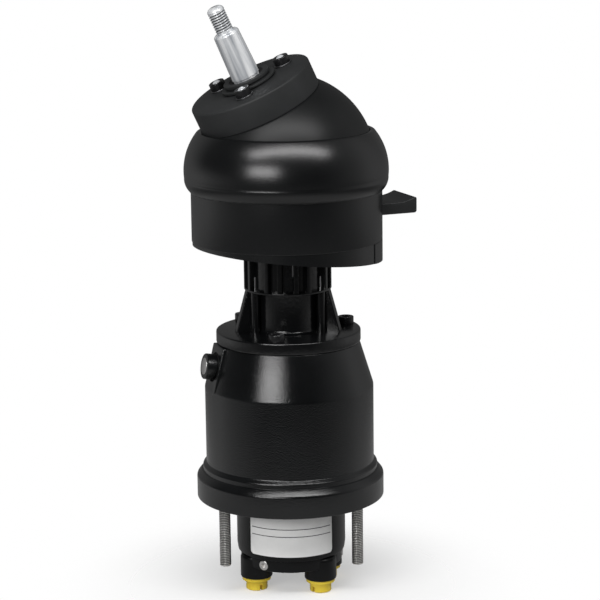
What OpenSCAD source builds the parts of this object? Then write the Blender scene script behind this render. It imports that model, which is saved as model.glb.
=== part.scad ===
// Hydraulic helm pump with a tilting wheel head.
// Origin at the centre of the flange underside, +Z up the pump axis, -Y the label side. Millimetres.

/* [Pump housing] */
// Radius of the mounting flange
flange_r = 66.2; // [63:0.1:80]
// Height of the straight side of the flange
flange_side = 15.5; // [12:0.1:24]
// Height of the sloped upper edge of the flange
flange_slope = 4.2; // [2:0.1:6]
// Reach of the bead beyond the reservoir wall
bead_out = 2.4; // [1:0.1:4]
// Height of the bead above the flange
bead_h = 5.7; // [4:0.1:14]
// Outside radius of the reservoir
reservoir_r = 59.4; // [55:0.1:61]
// Reservoir wall
wall = 5; // [3:0.1:8]
// Height where the cone begins
shoulder_z = 80.6; // [60:0.1:90]
// Height of the cone
cone_h = 30.7; // [28:0.1:50]
// Radius of the housing top
housing_top_r = 49.7; // [46:0.1:56]
// Thickness of the housing top plate
top_plate = 11.3; // [8:0.1:16]
// Wall of the shaft boss round the bush
boss_wall = 9; // [4:0.1:14]
// Length of the shaft boss under the top plate
boss_drop = 9; // [4:0.1:20]

/* [Filler] */
// Direction of the filler from the front, degrees
filler_turn = -72; // [-100:1:-50]
// Height of the filler above the shoulder
filler_rise = 15.4; // [12:0.1:18]
// Upward lean of the filler plug, degrees
filler_lean = 10; // [4:0.5:12]
// Distance of the flat filler face from the reservoir wall, inwards
filler_inset = 1.9; // [0:0.1:3]
// Lean of the flat filler face, degrees
filler_slope = 8; // [4:0.5:10]
// Depth of the plug seat in the filler face
filler_sink = 3; // [1:0.1:3.6]
// Wall of the filler boss beside the plug head
filler_wall = 3; // [1.6:0.1:6]
// Radius of the filler plug head
filler_head_r = 9; // [7.5:0.1:9.5]
// Length of the filler plug head
filler_head = 7.4; // [5:0.1:11]
// Radius of the filler plug thread
filler_thread_r = 6; // [4.5:0.1:6.5]
// Thickness of the filler seal
filler_seal_t = 1.8; // [1:0.1:3]

/* [Studs] */
// Diameter of the stud circle
stud_pcd = 107.4; // [102:0.1:115]
// Number of studs
stud_count = 3; // [3:1:4]
// Radius of a stud
stud_r = 4; // [3:0.1:5]
// Length of a stud below the flange
stud_drop = 45; // [25:0.5:70]
// How much thinner a stud is where it is screwed in
stud_neck = 0.7; // [0.5:0.05:1]
// Chamfer at the end of a stud
stud_tip = 0.7; // [0.4:0.1:1.2]
// Room round a stud at the mouth of its hole
stud_relief = 0.3; // [0.2:0.05:0.6]
// Depth of the mouth of a stud hole
stud_mouth = 1.2; // [0.8:0.1:2]
// Metal left above a stud
stud_floor = 2.5; // [1.5:0.1:5]

/* [Pump block] */
// Radius of the block
block_r = 36.6; // [34:0.1:38]
// Length of the block below the flange
block_len = 40; // [34:0.1:60]
// Metal between the studs and the block recess
block_room = 2.7; // [1.5:0.1:5]
// Thickness of the block flange
block_flange_t = 8; // [6.5:0.1:11]
// Metal between the block screws and the block boss
boss_room = 1.2; // [0.8:0.1:3]
// Height of the block boss above the ledge
block_boss_rise = 8.4; // [6:0.1:20]
// Radius of the rotor bore
bore_r = 23; // [21.5:0.1:24.5]
// Inset of the block screws from the edge of the block flange
block_screw_inset = 4.6; // [4.3:0.1:5.4]
// Radius of a block screw
block_screw_r = 2.5; // [2:0.1:3]
// Half angle of the rating label, degrees
label_half = 53; // [40:1:60]
// Height of the rating label
label_h = 35.6; // [20:0.1:36.5]
// Thickness of the rating label
label_t = 0.4; // [0.2:0.05:0.8]

/* [End cap] */
// Thickness of the end cap
cap_t = 8.8; // [8:0.1:12]
// Radius of a port boss
port_boss_r = 10.8; // [10:0.1:11.5]
// Length of a port boss under the cap
port_boss_drop = 8.8; // [6:0.1:14]
// Distance of the ports from the axis
port_circle = 27.8; // [27.5:0.1:29]
// Direction of the left port from the front, degrees
port_left = -64; // [-74:1:-56]
// Direction of the right port from the front, degrees
port_right = 47; // [40:1:54]
// Direction of the rear port from the front, degrees
port_rear = 116; // [110:1:124]
// Direction of the valve from the front, degrees
valve_turn = 227; // [220:1:236]
// Radius of a port bore
port_r = 5.6; // [4.5:0.1:6.2]
// Radius of the passage from a port into the block
passage_r = 3; // [2:0.1:3.4]
// Radius of a cap screw
cap_screw_r = 2.5; // [2:0.1:3]
// Radius of a side plug
side_plug_r = 3.6; // [2.5:0.1:3.8]

/* [Port plugs] */
// Radius of the plug flange
plug_flange_r = 9.1; // [8:0.1:10.5]
// Thickness of the plug flange
plug_flange_t = 2.4; // [1.5:0.1:4]
// Radius of the plug knob
plug_knob_r = 7.25; // [6:0.05:8]
// Length of the plug knob
plug_knob = 7.2; // [5:0.1:10]
// Width of the screwdriver slot
plug_slot = 2; // [1:0.1:3]

/* [Pumping set] */
// Thickness of the valve plate
valve_plate_t = 4; // [3:0.1:6]
// Length of the rotor
rotor_len = 27.9; // [22:0.1:31]
// Number of pistons
piston_count = 7; // [5:1:7]
// Distance of the pistons from the axis
piston_circle = 14.5; // [14:0.1:15.5]
// Radius of a piston
piston_r = 4.95; // [4:0.05:5]
// Length of a piston
piston_len = 20; // [14:0.1:26]
// Lean of the swash face, degrees
swash_lean = 10; // [4:0.5:14]
// Clearance between the pistons and the swash face
swash_room = 0.56; // [0.3:0.02:3]
// Thickness of the swash flange
swash_flange_t = 4; // [3:0.1:6]
// Inset of the swash flange from the edge of the block boss
swash_inset = 1.4; // [0.5:0.1:3]
// Radius of the hole in the swash plate
swash_hole_r = 9.5; // [8.5:0.1:10]

/* [Drive shaft] */
// Radius of the pump shaft and the joint shaft
drive_r = 7; // [6.5:0.1:7.3]
// Corner radius of the hexagon in the rotor
hex_r = 6.5; // [6:0.1:6.5]
// Height of the shaft split above the adapter disc
split_rise = 10.9; // [9:0.1:14]
// Wall of the coupling sleeve
sleeve_wall = 5; // [3:0.1:5.8]
// Length of the coupling sleeve
sleeve_len = 22; // [18:0.1:24]
// Wall of the joint cup
cup_wall = 4.3; // [3:0.1:5]
// Height of the cup rim above the pivot
cup_rim = 4; // [3:0.1:4.5]

/* [Adapter and neck] */
// Step from the housing top to the adapter edge
adapter_step = 1; // [0:0.1:5]
// Thickness of the adapter disc
adapter_t = 8.3; // [5:0.1:12]
// Inset of the adapter tube from the neck core
tube_inset = 4.5; // [3.5:0.1:7]
// Clearance between the adapter tube and the coupling sleeve
tube_room = 2; // [1:0.1:3]
// Height of the adapter above its disc
adapter_h = 30.5; // [26:0.1:45]
// Thickness of the ring at the adapter top
ring_t = 3; // [2.5:0.1:5]
// Clearance between the gusset feet and the bolt circle
gusset_inset = 5; // [2:0.1:9]
// Thickness of a gusset
gusset_t = 7; // [4:0.1:8]
// Inset of the adapter bolts from the edge of the housing top
bolt_inset = 6.7; // [6:0.1:8]
// Radius of an adapter bolt
adapter_bolt_r = 3; // [2.5:0.1:3.2]
// Radius over the ribs of the neck
neck_r = 30.9; // [29.5:0.1:36]
// Depth of the flutes between the neck ribs
flute = 4.4; // [2:0.1:5.5]
// Wall of the neck under the flutes
neck_wall = 6; // [5.4:0.1:8]
// Width of a neck rib
rib_w = 3.2; // [2:0.1:3.8]
// Radius of a neck screw
neck_screw_r = 2; // [1.5:0.1:2.2]
// Depth that the heads of the neck screws are sunk under the adapter
neck_screw_sink = 4.2; // [4:0.1:5.5]
// Radius of the columns round the neck screws
column_r = 3.7; // [3.6:0.1:4.4]

/* [Tilt base] */
// Turn of the tilt unit on the neck, degrees
clock_turn = 22; // [10:1:34]
// Height of the tilt pivot above the base
pivot_rise = 55.8; // [54:0.1:60]
// Step from the cover skirt to the tilt base
base_step = 0.5; // [0:0.1:1.2]
// Thickness of the tilt base on its axis
base_t = 6.25; // [6:0.05:12]
// Height of the cover's lower edge above the base floor
skirt_lift = 2.8; // [1:0.1:3.4]
// Length of the neck on its axis
neck_len = 24.25; // [22:0.05:60]
// Lean of the base underside, degrees
under_lean = 5.8; // [0.5:0.1:6.4]
// Clearance between the yoke arms and the dome
arm_room = 1.2; // [0.4:0.1:3]
// Thickness of a pivot ear
ear_t = 7; // [5:0.1:8]
// Half width of a pivot ear
ear_half = 12; // [9:0.1:14]
// Radius of a pivot pin
pivot_pin_r = 4; // [3:0.1:5]
// Radius of the lever pin
lever_pin_r = 2.5; // [2:0.1:2.7]
// Inset of the lever pin from the inside of the skirt
lever_pin_inset = 7.9; // [7:0.1:8.4]
// Height of the lever pin above the base
lever_pin_rise = 9.4; // [8:0.1:10.4]

/* [Cover] */
// Clearance between the dome and the cover skirt
cover_room = 1.8; // [1.2:0.1:4]
// Thickness of the cover
cover_t = 2.5; // [1.5:0.1:3.2]
// Reach of the bulge beyond the skirt
bulge_out = 4.4; // [3.6:0.1:7]
// Radius of the lower bulge round
low_round = 12; // [11:0.1:15]
// Radius of the upper bulge round
high_round = 43; // [41:0.1:46]
// Height of the widest part of the cover above the base
bulge_rise = 51.4; // [48:0.1:54]
// Height of the cover rim above the base
rim_rise = 78.8; // [75:0.1:80]
// Gap between the cover rim and the dome
dome_gap = 0.5; // [0.3:0.05:0.8]

/* [Tilt head] */
// Lean of the head at rest, degrees
rest_tilt = 25; // [22:0.5:25]
// Outside radius of the dome
dome_r = 62.1; // [60:0.1:66]
// Thickness of the dome
dome_t = 2.5; // [1.6:0.1:2.6]
// Reach of the dome below the pivot
dome_drop = 10.8; // [6:0.1:11.5]
// Height of the hub underside above the pivot
hub_low = 43.6; // [42:0.1:45]
// Radius of the hub
hub_r = 42.6; // [40:0.1:46]
// Thickness of the hub
hub_t = 18.4; // [17:0.1:26]
// Round on the hub edge
hub_round = 1.6; // [0.8:0.1:3]
// Distance of the hub screws from the bearing
hub_screw_room = 6.8; // [6:0.1:9]
// Radius of a hub screw
hub_screw_r = 3; // [2.4:0.1:3.2]
// Reach of a hub screw head beyond its thread
hub_head_out = 2.25; // [1.5:0.05:2.6]
// Reach of a hub screw washer beyond the head
washer_out = 1; // [0.4:0.05:1.4]
// Wall of the lower tier of the seal retainer
retainer_low_wall = 7; // [5:0.1:8]
// Wall of the upper tier of the seal retainer
retainer_high_wall = 4.25; // [2.5:0.05:5]
// Height of the lower tier
retainer_low = 2.7; // [2:0.1:4]
// Height of the upper tier
retainer_high = 3.4; // [2.5:0.1:5]

/* [Wheel shaft] */
// Radius of the wheel shaft
wheel_r = 9; // [8.4:0.05:9.6]
// Length of the plain shaft above the hub
wheel_len = 38; // [32:0.1:48]
// Radius of the wheel nut thread
thread_r = 6; // [5:0.1:7.5]
// Length of the wheel nut thread
thread_len = 22; // [15:0.1:28]
// Radius of the ball on the shaft end
ball_r = 8.5; // [7.6:0.05:9]
// Radius of the trunnion pin
trunnion_r = 2.5; // [2:0.1:3]
// Depth of the bearing rings together
bearing_depth = 11; // [10.4:0.1:12]
// Step from the wheel shaft to the bearing seat
bearing_step = 1; // [0.5:0.1:1.5]
// Width of the bearing
bearing_w = 12; // [11.4:0.1:13]
// Width of the keyway
key_w = 5; // [3:0.1:6]

/* [Tilt lever] */
// Width of the lever paddle
lever_w = 36; // [28:0.5:44]
// Height of the lip at the end of the lever paddle
lever_lip = 3; // [1:0.1:4]
// Thickness of the lever paddle
lever_t = 8; // [6:0.1:9]
// Reach of the lever beyond the skirt
lever_out = 24.9; // [16:0.1:34]
// Radius of the notched sector
sector_r = 38; // [36:0.1:40]
// Angle between two notches, degrees
notch_step = 12.5; // [8:0.5:12.5]

/* [Fits] */
// Radial gap of fixed fits
snug = 0.02; // [0.01:0.01:0.05]
// Radial gap of running fits
run = 0.04; // [0.02:0.01:0.08]
// Radial gap of screw holes
screw_gap = 0.25; // [0.1:0.05:0.4]

/* [Hidden] */
$fn = 48;

black_paint = [0.11, 0.11, 0.12];
black_plastic = [0.15, 0.15, 0.16];
steel = [0.66, 0.67, 0.69];
zinc = [0.76, 0.77, 0.78];
bronze = [0.70, 0.54, 0.30];
rubber = [0.07, 0.07, 0.07];
yellow = [0.87, 0.74, 0.16];
white = [0.93, 0.93, 0.92];

eps = 0.01;
far = 200;
housing_top = shoulder_z + cone_h;
bead_r = reservoir_r + bead_out;
bead_top = flange_side + flange_slope + bead_h;
bead_slope = 2.3;
bead_step = 0.8;
cone_lean = atan((reservoir_r - housing_top_r) / cone_h);
recess_gap = 0.2;
recess_r = stud_pcd / 2 - stud_r - block_room;
block_flange_r = recess_r - recess_gap;
block_screw_circle = block_flange_r - block_screw_inset;
block_head_r = block_screw_r + 1.5;
block_head = block_flange_t - 3.6;
block_boss_r = block_screw_circle - block_screw_r - boss_room - 0.1;
ledge_r = block_boss_r + 0.1;
ledge_top = max(flange_side + 2.1, block_flange_t + 9);
block_boss_top = ledge_top + block_boss_rise;
stud_depth = flange_side - stud_floor;
plate_z = housing_top - top_plate;
cavity_r = reservoir_r - wall;
cavity_top_r = housing_top_r + top_plate * tan(cone_lean) - wall;
cavity_shoulder = plate_z - (cavity_r - cavity_top_r) / tan(cone_lean);
bush_r = drive_r + 3;
boss_r = bush_r + boss_wall;
seal_r = drive_r + 6;
seal_z = housing_top - 7.3;
bush_z = plate_z - boss_drop;
filler_z = shoulder_z + filler_rise;
filler_face = reservoir_r - filler_inset;
filler_width = (filler_head_r + filler_wall) * 2;
seat_r = filler_face - filler_head_r * sin(filler_lean) - filler_sink;
cap_z = -block_len;
port_z = cap_z - cap_t - port_boss_drop;
cap_screw_circle = (bore_r + block_r) / 2 + 0.4;
cap_head_r = cap_screw_r + 1.6;
cap_head = cap_t - 4.2;
cap_screw_turns = [(port_left + port_right) / 2, (port_rear + valve_turn) / 2,
    (valve_turn + port_left + 360) / 2];
block_screw_turns = [-33, 16, 81.5, 171.5, 261.5];
side_plug_turns = [-33, 92, 205];
adapter_bolt_turns = [-11, 109, 229];
neck_screw_turns = [-61, 61, 151, -151];
cover_screw_turns = [150, 200, 250];
side_plug_z = cap_z - cap_t / 2;
rotor_low = cap_z + valve_plate_t + 0.1;
rotor_top = rotor_low + rotor_len;
rotor_r = bore_r - 0.6;
piston_low = rotor_top - 8;
piston_top = piston_low + piston_len;
swash_z = piston_top + swash_room + (piston_circle + piston_r) * tan(swash_lean);
swash_low = swash_z - (bore_r - 0.2) * tan(swash_lean);
swash_flange_r = block_boss_r - swash_inset;
swash_screw_r = 2;
swash_screw_circle = (bore_r + block_boss_r) / 2 - 0.3;
shaft_low = rotor_low + 2;
adapter_r = housing_top_r + adapter_step;
adapter_z = housing_top + adapter_t;
adapter_top = adapter_z + adapter_h;
adapter_bolt_circle = housing_top_r - bolt_inset;
gusset_foot = adapter_bolt_circle - gusset_inset;
split_z = adapter_z + split_rise;
sleeve_r = drive_r + sleeve_wall;
sleeve_low = split_z - sleeve_len / 2 - 0.5;
sleeve_pin_r = 1.5;
pin_turns = [sleeve_len / 4 + 0.5, -sleeve_len / 4 - 0.5];
tube_bore = sleeve_r + tube_room;
neck_core_r = neck_r - flute;
neck_bore = neck_core_r - neck_wall;
tube_r = neck_core_r - tube_inset;
ring_r = neck_r - 0.3;
register_r = neck_bore - 0.1;
register_h = 4;
neck_screw_circle = neck_core_r - 0.4;
rib_turns = [-29, -11, 11, 29];
skirt_in = dome_r + cover_room;
skirt_r = skirt_in + cover_t;
base_r = skirt_r - base_step;
under_z = adapter_top + neck_len;
base_z = under_z + base_t;
under_drop = base_r * tan(under_lean) + 4;
pivot_z = base_z + pivot_rise;
bulge_z = base_z + bulge_rise;
rim_z = base_z + rim_rise;
low_x = skirt_r + bulge_out - low_round;
low_z = bulge_z - 5;
high_x = skirt_r + bulge_out + 0.2 - high_round;
floor_z = base_z + 7.4;
floor_r = neck_r + 5.6;
base_hole = neck_bore - 4;
base_screw_r = 2.5;
base_screw_circle = neck_screw_circle;
cover_screw_r = 1.5;
cover_screw_z = base_z + 6.3;
hub_face = hub_low + hub_t;
dome_in = dome_r - dome_t;
dome_plate = 2.2;
flange_top = hub_low - dome_plate;
yoke_flange_t = 8;
yoke_flange_r = sqrt(dome_in * dome_in - flange_top * flange_top) - 0.3;
dome_hole = yoke_flange_r - 4.4;
arm_out = sqrt(dome_in * dome_in - flange_top * flange_top - ear_half * ear_half) - arm_room;
arm_t = 6.8;
arm_in = arm_out - arm_t;
ear_in = arm_out + 0.1;
bearing_bore = wheel_r + bearing_step;
bearing_r = bearing_bore + bearing_depth;
bearing_top = hub_face - 3;
bearing_low = bearing_top - bearing_w;
bearing_mid = bearing_top - bearing_w / 2;
race_r = (bearing_r + bearing_bore) / 2;
bearing_ball_r = 3.6;
race_gap = 1.95;
bearing_ball_count = 9;
hub_screw_circle = bearing_r + hub_screw_room;
hub_head_r = hub_screw_r + hub_head_out;
hub_head = 5;
washer_r = hub_head_r + washer_out;
washer_t = 1.2;
journal_r = wheel_r + 0.3;
retainer_bore = wheel_r + 3.5;
hub_hole = retainer_bore + 1.5;
retainer_low_r = retainer_bore + retainer_low_wall;
retainer_high_r = retainer_bore + retainer_high_wall;
retainer_face = hub_face + retainer_low + retainer_high;
clip_t = 1.5;
head_bush_r = wheel_r + 3;
wheel_top = hub_face + wheel_len;
thread_top = wheel_top + thread_len;
key_low = wheel_top - 14;
key_len = 12;
cup_bore = ball_r + 0.2;
cup_r = cup_bore + cup_wall;
trunnion_half = cup_r - 0.5;
slot_half = trunnion_r + 0.7;
slot_drop = trunnion_half * sin(rest_tilt) + trunnion_r + 0.7;
lever_pin_x = skirt_in - lever_pin_inset;
lever_pin_z = base_z + lever_pin_rise;
lever_reach = skirt_r + lever_out;
lever_hub_r = lever_pin_r + 2.4;
lug_gap = 0.6;
lug_t = 4;
lever_pin_half = lever_w / 2 + lug_gap + lug_t + 0.4;
paddle_z = lever_pin_z + 7.6;
sector_in = sector_r - 8;
sector_low = 8;
sector_t = 6;
nose_turn = 37.3;
nose_r = 1.6;
nose_gap = 0.3;
notch_r = 2.2;
nose_circle = sector_r + nose_r + nose_gap;
nose_x = nose_circle * sin(nose_turn);
nose_z = pivot_z - nose_circle * cos(nose_turn);

module at_turn(turn, reach = 0, z = 0) {
    rotate([0, 0, turn])
        translate([0, -reach, z])
            children();
}

module at_filler() {
    rotate([0, 0, filler_turn])
        translate([0, -seat_r, filler_z])
            rotate([90 - filler_lean, 0, 0])
                children();
}

module in_tilt() {
    rotate([0, 0, clock_turn])
        children();
}

module in_head() {
    in_tilt()
        translate([0, 0, pivot_z])
            rotate([0, -rest_tilt, 0])
                children();
}

module ring(outer, inner, low, top) {
    rotate_extrude()
        translate([inner, low])
            square([outer - inner, top - low]);
}

module rod(r, low, top, edge = 0) {
    rotate_extrude()
        polygon([[0, low], [r - edge, low], [r, low + edge], [r, top - edge], [r - edge, top], [0, top]]);
}

module along_y(low, top) {
    translate([0, top, 0])
        rotate([90, 0, 0])
            linear_extrude(height = top - low)
                children();
}

module socket_screw(r, shank, head_r, head) {
    difference() {
        union() {
            rod(r, -shank, eps);
            rod(head_r, 0, head, 0.4);
        }
        translate([0, 0, head * 0.45])
            cylinder(r = head_r * 0.52, h = head, $fn = 6);
    }
}

module wedge_2d(low, top) {
    mid = (low + top) / 2;
    polygon([[0, 0], far * [sin(low), -cos(low)], far * [sin(mid), -cos(mid)], far * [sin(top), -cos(top)]]);
}

module housing_outer_2d() {
    soft = 25;
    reach = soft * tan(cone_lean / 2);
    polygon([[0, 0], [flange_r, 0], [flange_r, flange_side],
        [bead_r + bead_step, flange_side + flange_slope], [0, flange_side + flange_slope]]);
    polygon([[0, 0], [bead_r, 0], [bead_r, bead_top - bead_slope], [reservoir_r, bead_top], [0, bead_top]]);
    polygon([[0, 0], [reservoir_r, 0], [reservoir_r, shoulder_z - reach],
        [reservoir_r - soft * (1 - cos(cone_lean / 3)), shoulder_z - reach + soft * sin(cone_lean / 3)],
        [reservoir_r - soft * (1 - cos(cone_lean * 2 / 3)),
            shoulder_z - reach + soft * sin(cone_lean * 2 / 3)],
        [reservoir_r - soft * (1 - cos(cone_lean)), shoulder_z - reach + soft * sin(cone_lean)],
        [housing_top_r + 0.8 * tan(cone_lean), housing_top - 0.8], [housing_top_r - 0.6, housing_top],
        [0, housing_top]]);
}

module filler_boss() {
    high = housing_top - 0.3;
    low = filler_z - filler_head_r - 9.5;
    fall = tan(filler_slope);
    at_turn(filler_turn)
        intersection() {
            translate([-filler_width / 2, 0, 0])
                rotate([90, 0, 90])
                    linear_extrude(height = filler_width)
                        polygon([[(low - filler_z) * fall - filler_face, low],
                            [(high - 1 - filler_z) * fall - filler_face, high - 1],
                            [(high - filler_z) * fall - filler_face + 1, high],
                            [-filler_face / 2, high], [-filler_face / 2, low]]);
            translate([0, -filler_face / 3, filler_z])
                rotate([90, 0, 0])
                    cylinder(r = filler_width * 0.82, h = filler_face);
        }
}

module pump_housing() {
    color(black_paint)
        difference() {
            union() {
                rotate_extrude()
                    difference() {
                        housing_outer_2d();
                        polygon([[0, ledge_top], [cavity_r, ledge_top], [cavity_r, cavity_shoulder],
                            [cavity_top_r, plate_z], [0, plate_z]]);
                        square([recess_r, block_flange_t]);
                        square([ledge_r, ledge_top + eps]);
                    }
                difference() {
                    filler_boss();
                    rotate_extrude()
                        polygon([[0, ledge_top], [cavity_r, ledge_top], [cavity_r, cavity_shoulder],
                            [cavity_top_r, plate_z], [0, plate_z]]);
                }
                rod(boss_r, bush_z, plate_z + 1);
            }
            rod(bush_r + snug, bush_z - 1, seal_z + eps);
            rod(seal_r + snug, seal_z, housing_top + 1);
            at_filler() {
                cylinder(r = filler_head_r + 1.4, h = 30);
                translate([0, 0, -20])
                    cylinder(r = filler_thread_r + snug, h = 40);
            }
            for (k = [0 : stud_count - 1])
                at_turn(180 + k * 360 / stud_count, stud_pcd / 2, -1) {
                    cylinder(r = stud_r - stud_neck + snug, h = stud_depth + 1);
                    cylinder(r = stud_r + stud_relief, h = 1 + stud_mouth);
                }
            for (turn = block_screw_turns)
                at_turn(turn, block_screw_circle, block_flange_t - 1)
                    cylinder(r = block_screw_r + snug, h = ledge_top - block_flange_t - 0.6);
            for (turn = adapter_bolt_turns)
                at_turn(turn, adapter_bolt_circle, plate_z + 2.3)
                    cylinder(r = adapter_bolt_r + snug, h = top_plate);
        }
}

module filler_plug() {
    color(black_plastic)
        at_filler()
            difference() {
                union() {
                    rod(filler_thread_r, -11, filler_seal_t + eps, 0.6);
                    translate([0, 0, filler_seal_t])
                        rod(filler_head_r, 0, filler_head, 0.9);
                }
                translate([0, 0, filler_seal_t + filler_head - 4])
                    cylinder(r = filler_head_r * 0.5, h = 6, $fn = 6);
            }
}

module filler_seal() {
    color(rubber)
        at_filler()
            ring(filler_head_r + 0.4, filler_thread_r + snug, 0, filler_seal_t);
}

module mounting_studs() {
    color(steel)
        for (k = [0 : stud_count - 1])
            at_turn(180 + k * 360 / stud_count, stud_pcd / 2) {
                rotate_extrude()
                    polygon([[0, -stud_drop], [stud_r - stud_tip, -stud_drop], [stud_r, stud_tip - stud_drop],
                        [stud_r, 0], [0, 0]]);
                rod(stud_r - stud_neck, -1, stud_depth);
            }
}

module pump_block() {
    color(black_paint)
        difference() {
            union() {
                rod(block_r, -block_len, 1);
                rod(block_flange_r, 0, block_flange_t);
                rod(block_boss_r, 1, block_boss_top, 0.8);
            }
            rod(bore_r, -block_len - 1, block_boss_top + 1);
            ring(block_boss_r + 1, block_boss_r - 2, block_flange_t + 3.5, block_flange_t + 6.1);
            for (turn = block_screw_turns)
                at_turn(turn, block_screw_circle, -1) {
                    cylinder(r = block_screw_r + screw_gap, h = block_flange_t + 2);
                    cylinder(r = block_head_r + screw_gap, h = block_head + 1);
                }
            for (turn = [port_left, port_right, port_rear, valve_turn])
                at_turn(turn, port_circle, -block_len - 1)
                    cylinder(r = passage_r, h = 19);
            for (turn = cap_screw_turns)
                at_turn(turn, cap_screw_circle, -block_len - 1)
                    cylinder(r = cap_screw_r + snug, h = 15);
            for (k = [0 : 3])
                at_turn(45 + k * 90, swash_screw_circle, block_boss_top - 10)
                    cylinder(r = swash_screw_r + snug, h = 12);
        }
}

module block_seal() {
    color(rubber)
        rotate_extrude()
            translate([block_boss_r - 0.95, block_flange_t + 4.8])
                circle(r = 1.03);
}

module block_screws() {
    color(steel)
        for (turn = block_screw_turns)
            at_turn(turn, block_screw_circle, block_head)
                rotate([180, 0, 0])
                    socket_screw(block_screw_r, ledge_top - block_head - 2.2, block_head_r, block_head);
}

module end_cap() {
    color(black_paint)
        difference() {
            union() {
                rod(block_r - 0.6, cap_z - cap_t, cap_z, 0.6);
                for (turn = [port_left, port_right, port_rear, valve_turn])
                    at_turn(turn, port_circle)
                        rod(port_boss_r, port_z, cap_z - 0.5, 0.6);
            }
            for (turn = [port_left, port_right, port_rear, valve_turn])
                at_turn(turn, port_circle) {
                    rod(port_r + snug, port_z - 1, cap_z - 6);
                    rod(passage_r, port_z - 1, cap_z + 1);
                }
            for (turn = cap_screw_turns)
                at_turn(turn, cap_screw_circle) {
                    rod(cap_screw_r + screw_gap, cap_z - cap_t - 1, cap_z + 1);
                    rod(cap_head_r + screw_gap, cap_z - cap_t - 1, cap_z - cap_t + cap_head);
                }
            for (turn = side_plug_turns)
                at_turn(turn, block_r - 7, side_plug_z)
                    rotate([90, 0, 0])
                        cylinder(r = side_plug_r + snug, h = 12);
        }
}

module cap_screws() {
    color(steel)
        for (turn = cap_screw_turns)
            at_turn(turn, cap_screw_circle, cap_z - cap_t + cap_head)
                rotate([180, 0, 0])
                    socket_screw(cap_screw_r, cap_t - cap_head + 12.8, cap_head_r, cap_head);
}

module side_plugs() {
    color(zinc)
        for (turn = side_plug_turns)
            at_turn(turn, block_r - 7, side_plug_z)
                rotate([90, 0, 0])
                    difference() {
                        rod(side_plug_r, 0, 7.2, 0.5);
                        translate([0, 0, 5])
                            cylinder(r = 1.8, h = 3, $fn = 6);
                    }
}

module port_plug(turn) {
    color(yellow)
        at_turn(turn, port_circle, port_z)
            difference() {
                union() {
                    rod(port_r, -1, 9, 0.5);
                    rod(plug_flange_r, -plug_flange_t, 0, 0.4);
                    rod(plug_knob_r, -plug_flange_t - plug_knob, -plug_flange_t + eps, 0.5);
                }
                translate([-20, -plug_slot / 2, -plug_flange_t - plug_knob - 1])
                    cube([40, plug_slot, 5]);
            }
}

module port_plug_left() {
    port_plug(port_left);
}

module port_plug_right() {
    port_plug(port_right);
}

module port_plug_rear() {
    port_plug(port_rear);
}

module valve_plug() {
    color(zinc)
        at_turn(valve_turn, port_circle, port_z) {
            rod(port_r, -1, 9, 0.5);
            translate([0, 0, -5])
                cylinder(r = 9, h = 5, $fn = 6);
        }
}

module rating_label() {
    color(white)
        rotate([0, 0, -90])
            translate([0, 0, -3 - label_h])
                linear_extrude(height = label_h)
                    intersection() {
                        difference() {
                            circle(r = block_r + snug + label_t);
                            circle(r = block_r + snug);
                        }
                        polygon([[0, 0], far * [cos(label_half), -sin(label_half)], [far, 0],
                            far * [cos(label_half), sin(label_half)]]);
                    }
}

module valve_plate() {
    color(bronze)
        translate([0, 0, cap_z])
            linear_extrude(height = valve_plate_t)
                difference() {
                    circle(r = bore_r - snug);
                    for (side = [-1, 1])
                        intersection() {
                            difference() {
                                circle(r = piston_circle + 2.4);
                                circle(r = piston_circle - 2.4);
                            }
                            rotate([0, 0, 90 * side])
                                wedge_2d(-62, 62);
                        }
                }
}

module swash_plate() {
    color(steel)
        difference() {
            union() {
                rod(bore_r - snug, swash_low - 1, block_boss_top + 1);
                rod(swash_flange_r, block_boss_top, block_boss_top + swash_flange_t, 0.5);
            }
            translate([0, 0, swash_z])
                rotate([0, swash_lean, 0])
                    translate([-50, -50, -40])
                        cube([100, 100, 40]);
            rod(swash_hole_r, swash_low - 20, block_boss_top + 20);
            for (k = [0 : 3])
                at_turn(45 + k * 90, swash_screw_circle, block_boss_top - 1)
                    cylinder(r = swash_screw_r + screw_gap, h = swash_flange_t + 2);
        }
}

module swash_screws() {
    color(steel)
        for (k = [0 : 3])
            at_turn(45 + k * 90, swash_screw_circle, block_boss_top + swash_flange_t)
                socket_screw(swash_screw_r, swash_flange_t + 9, swash_screw_r + 1.5, 4);
}

module housing_bush() {
    color(bronze)
        ring(bush_r, drive_r + run, bush_z, seal_z);
}

module shaft_seal() {
    color(rubber)
        ring(seal_r, drive_r + run, seal_z, housing_top - 1);
}

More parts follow.
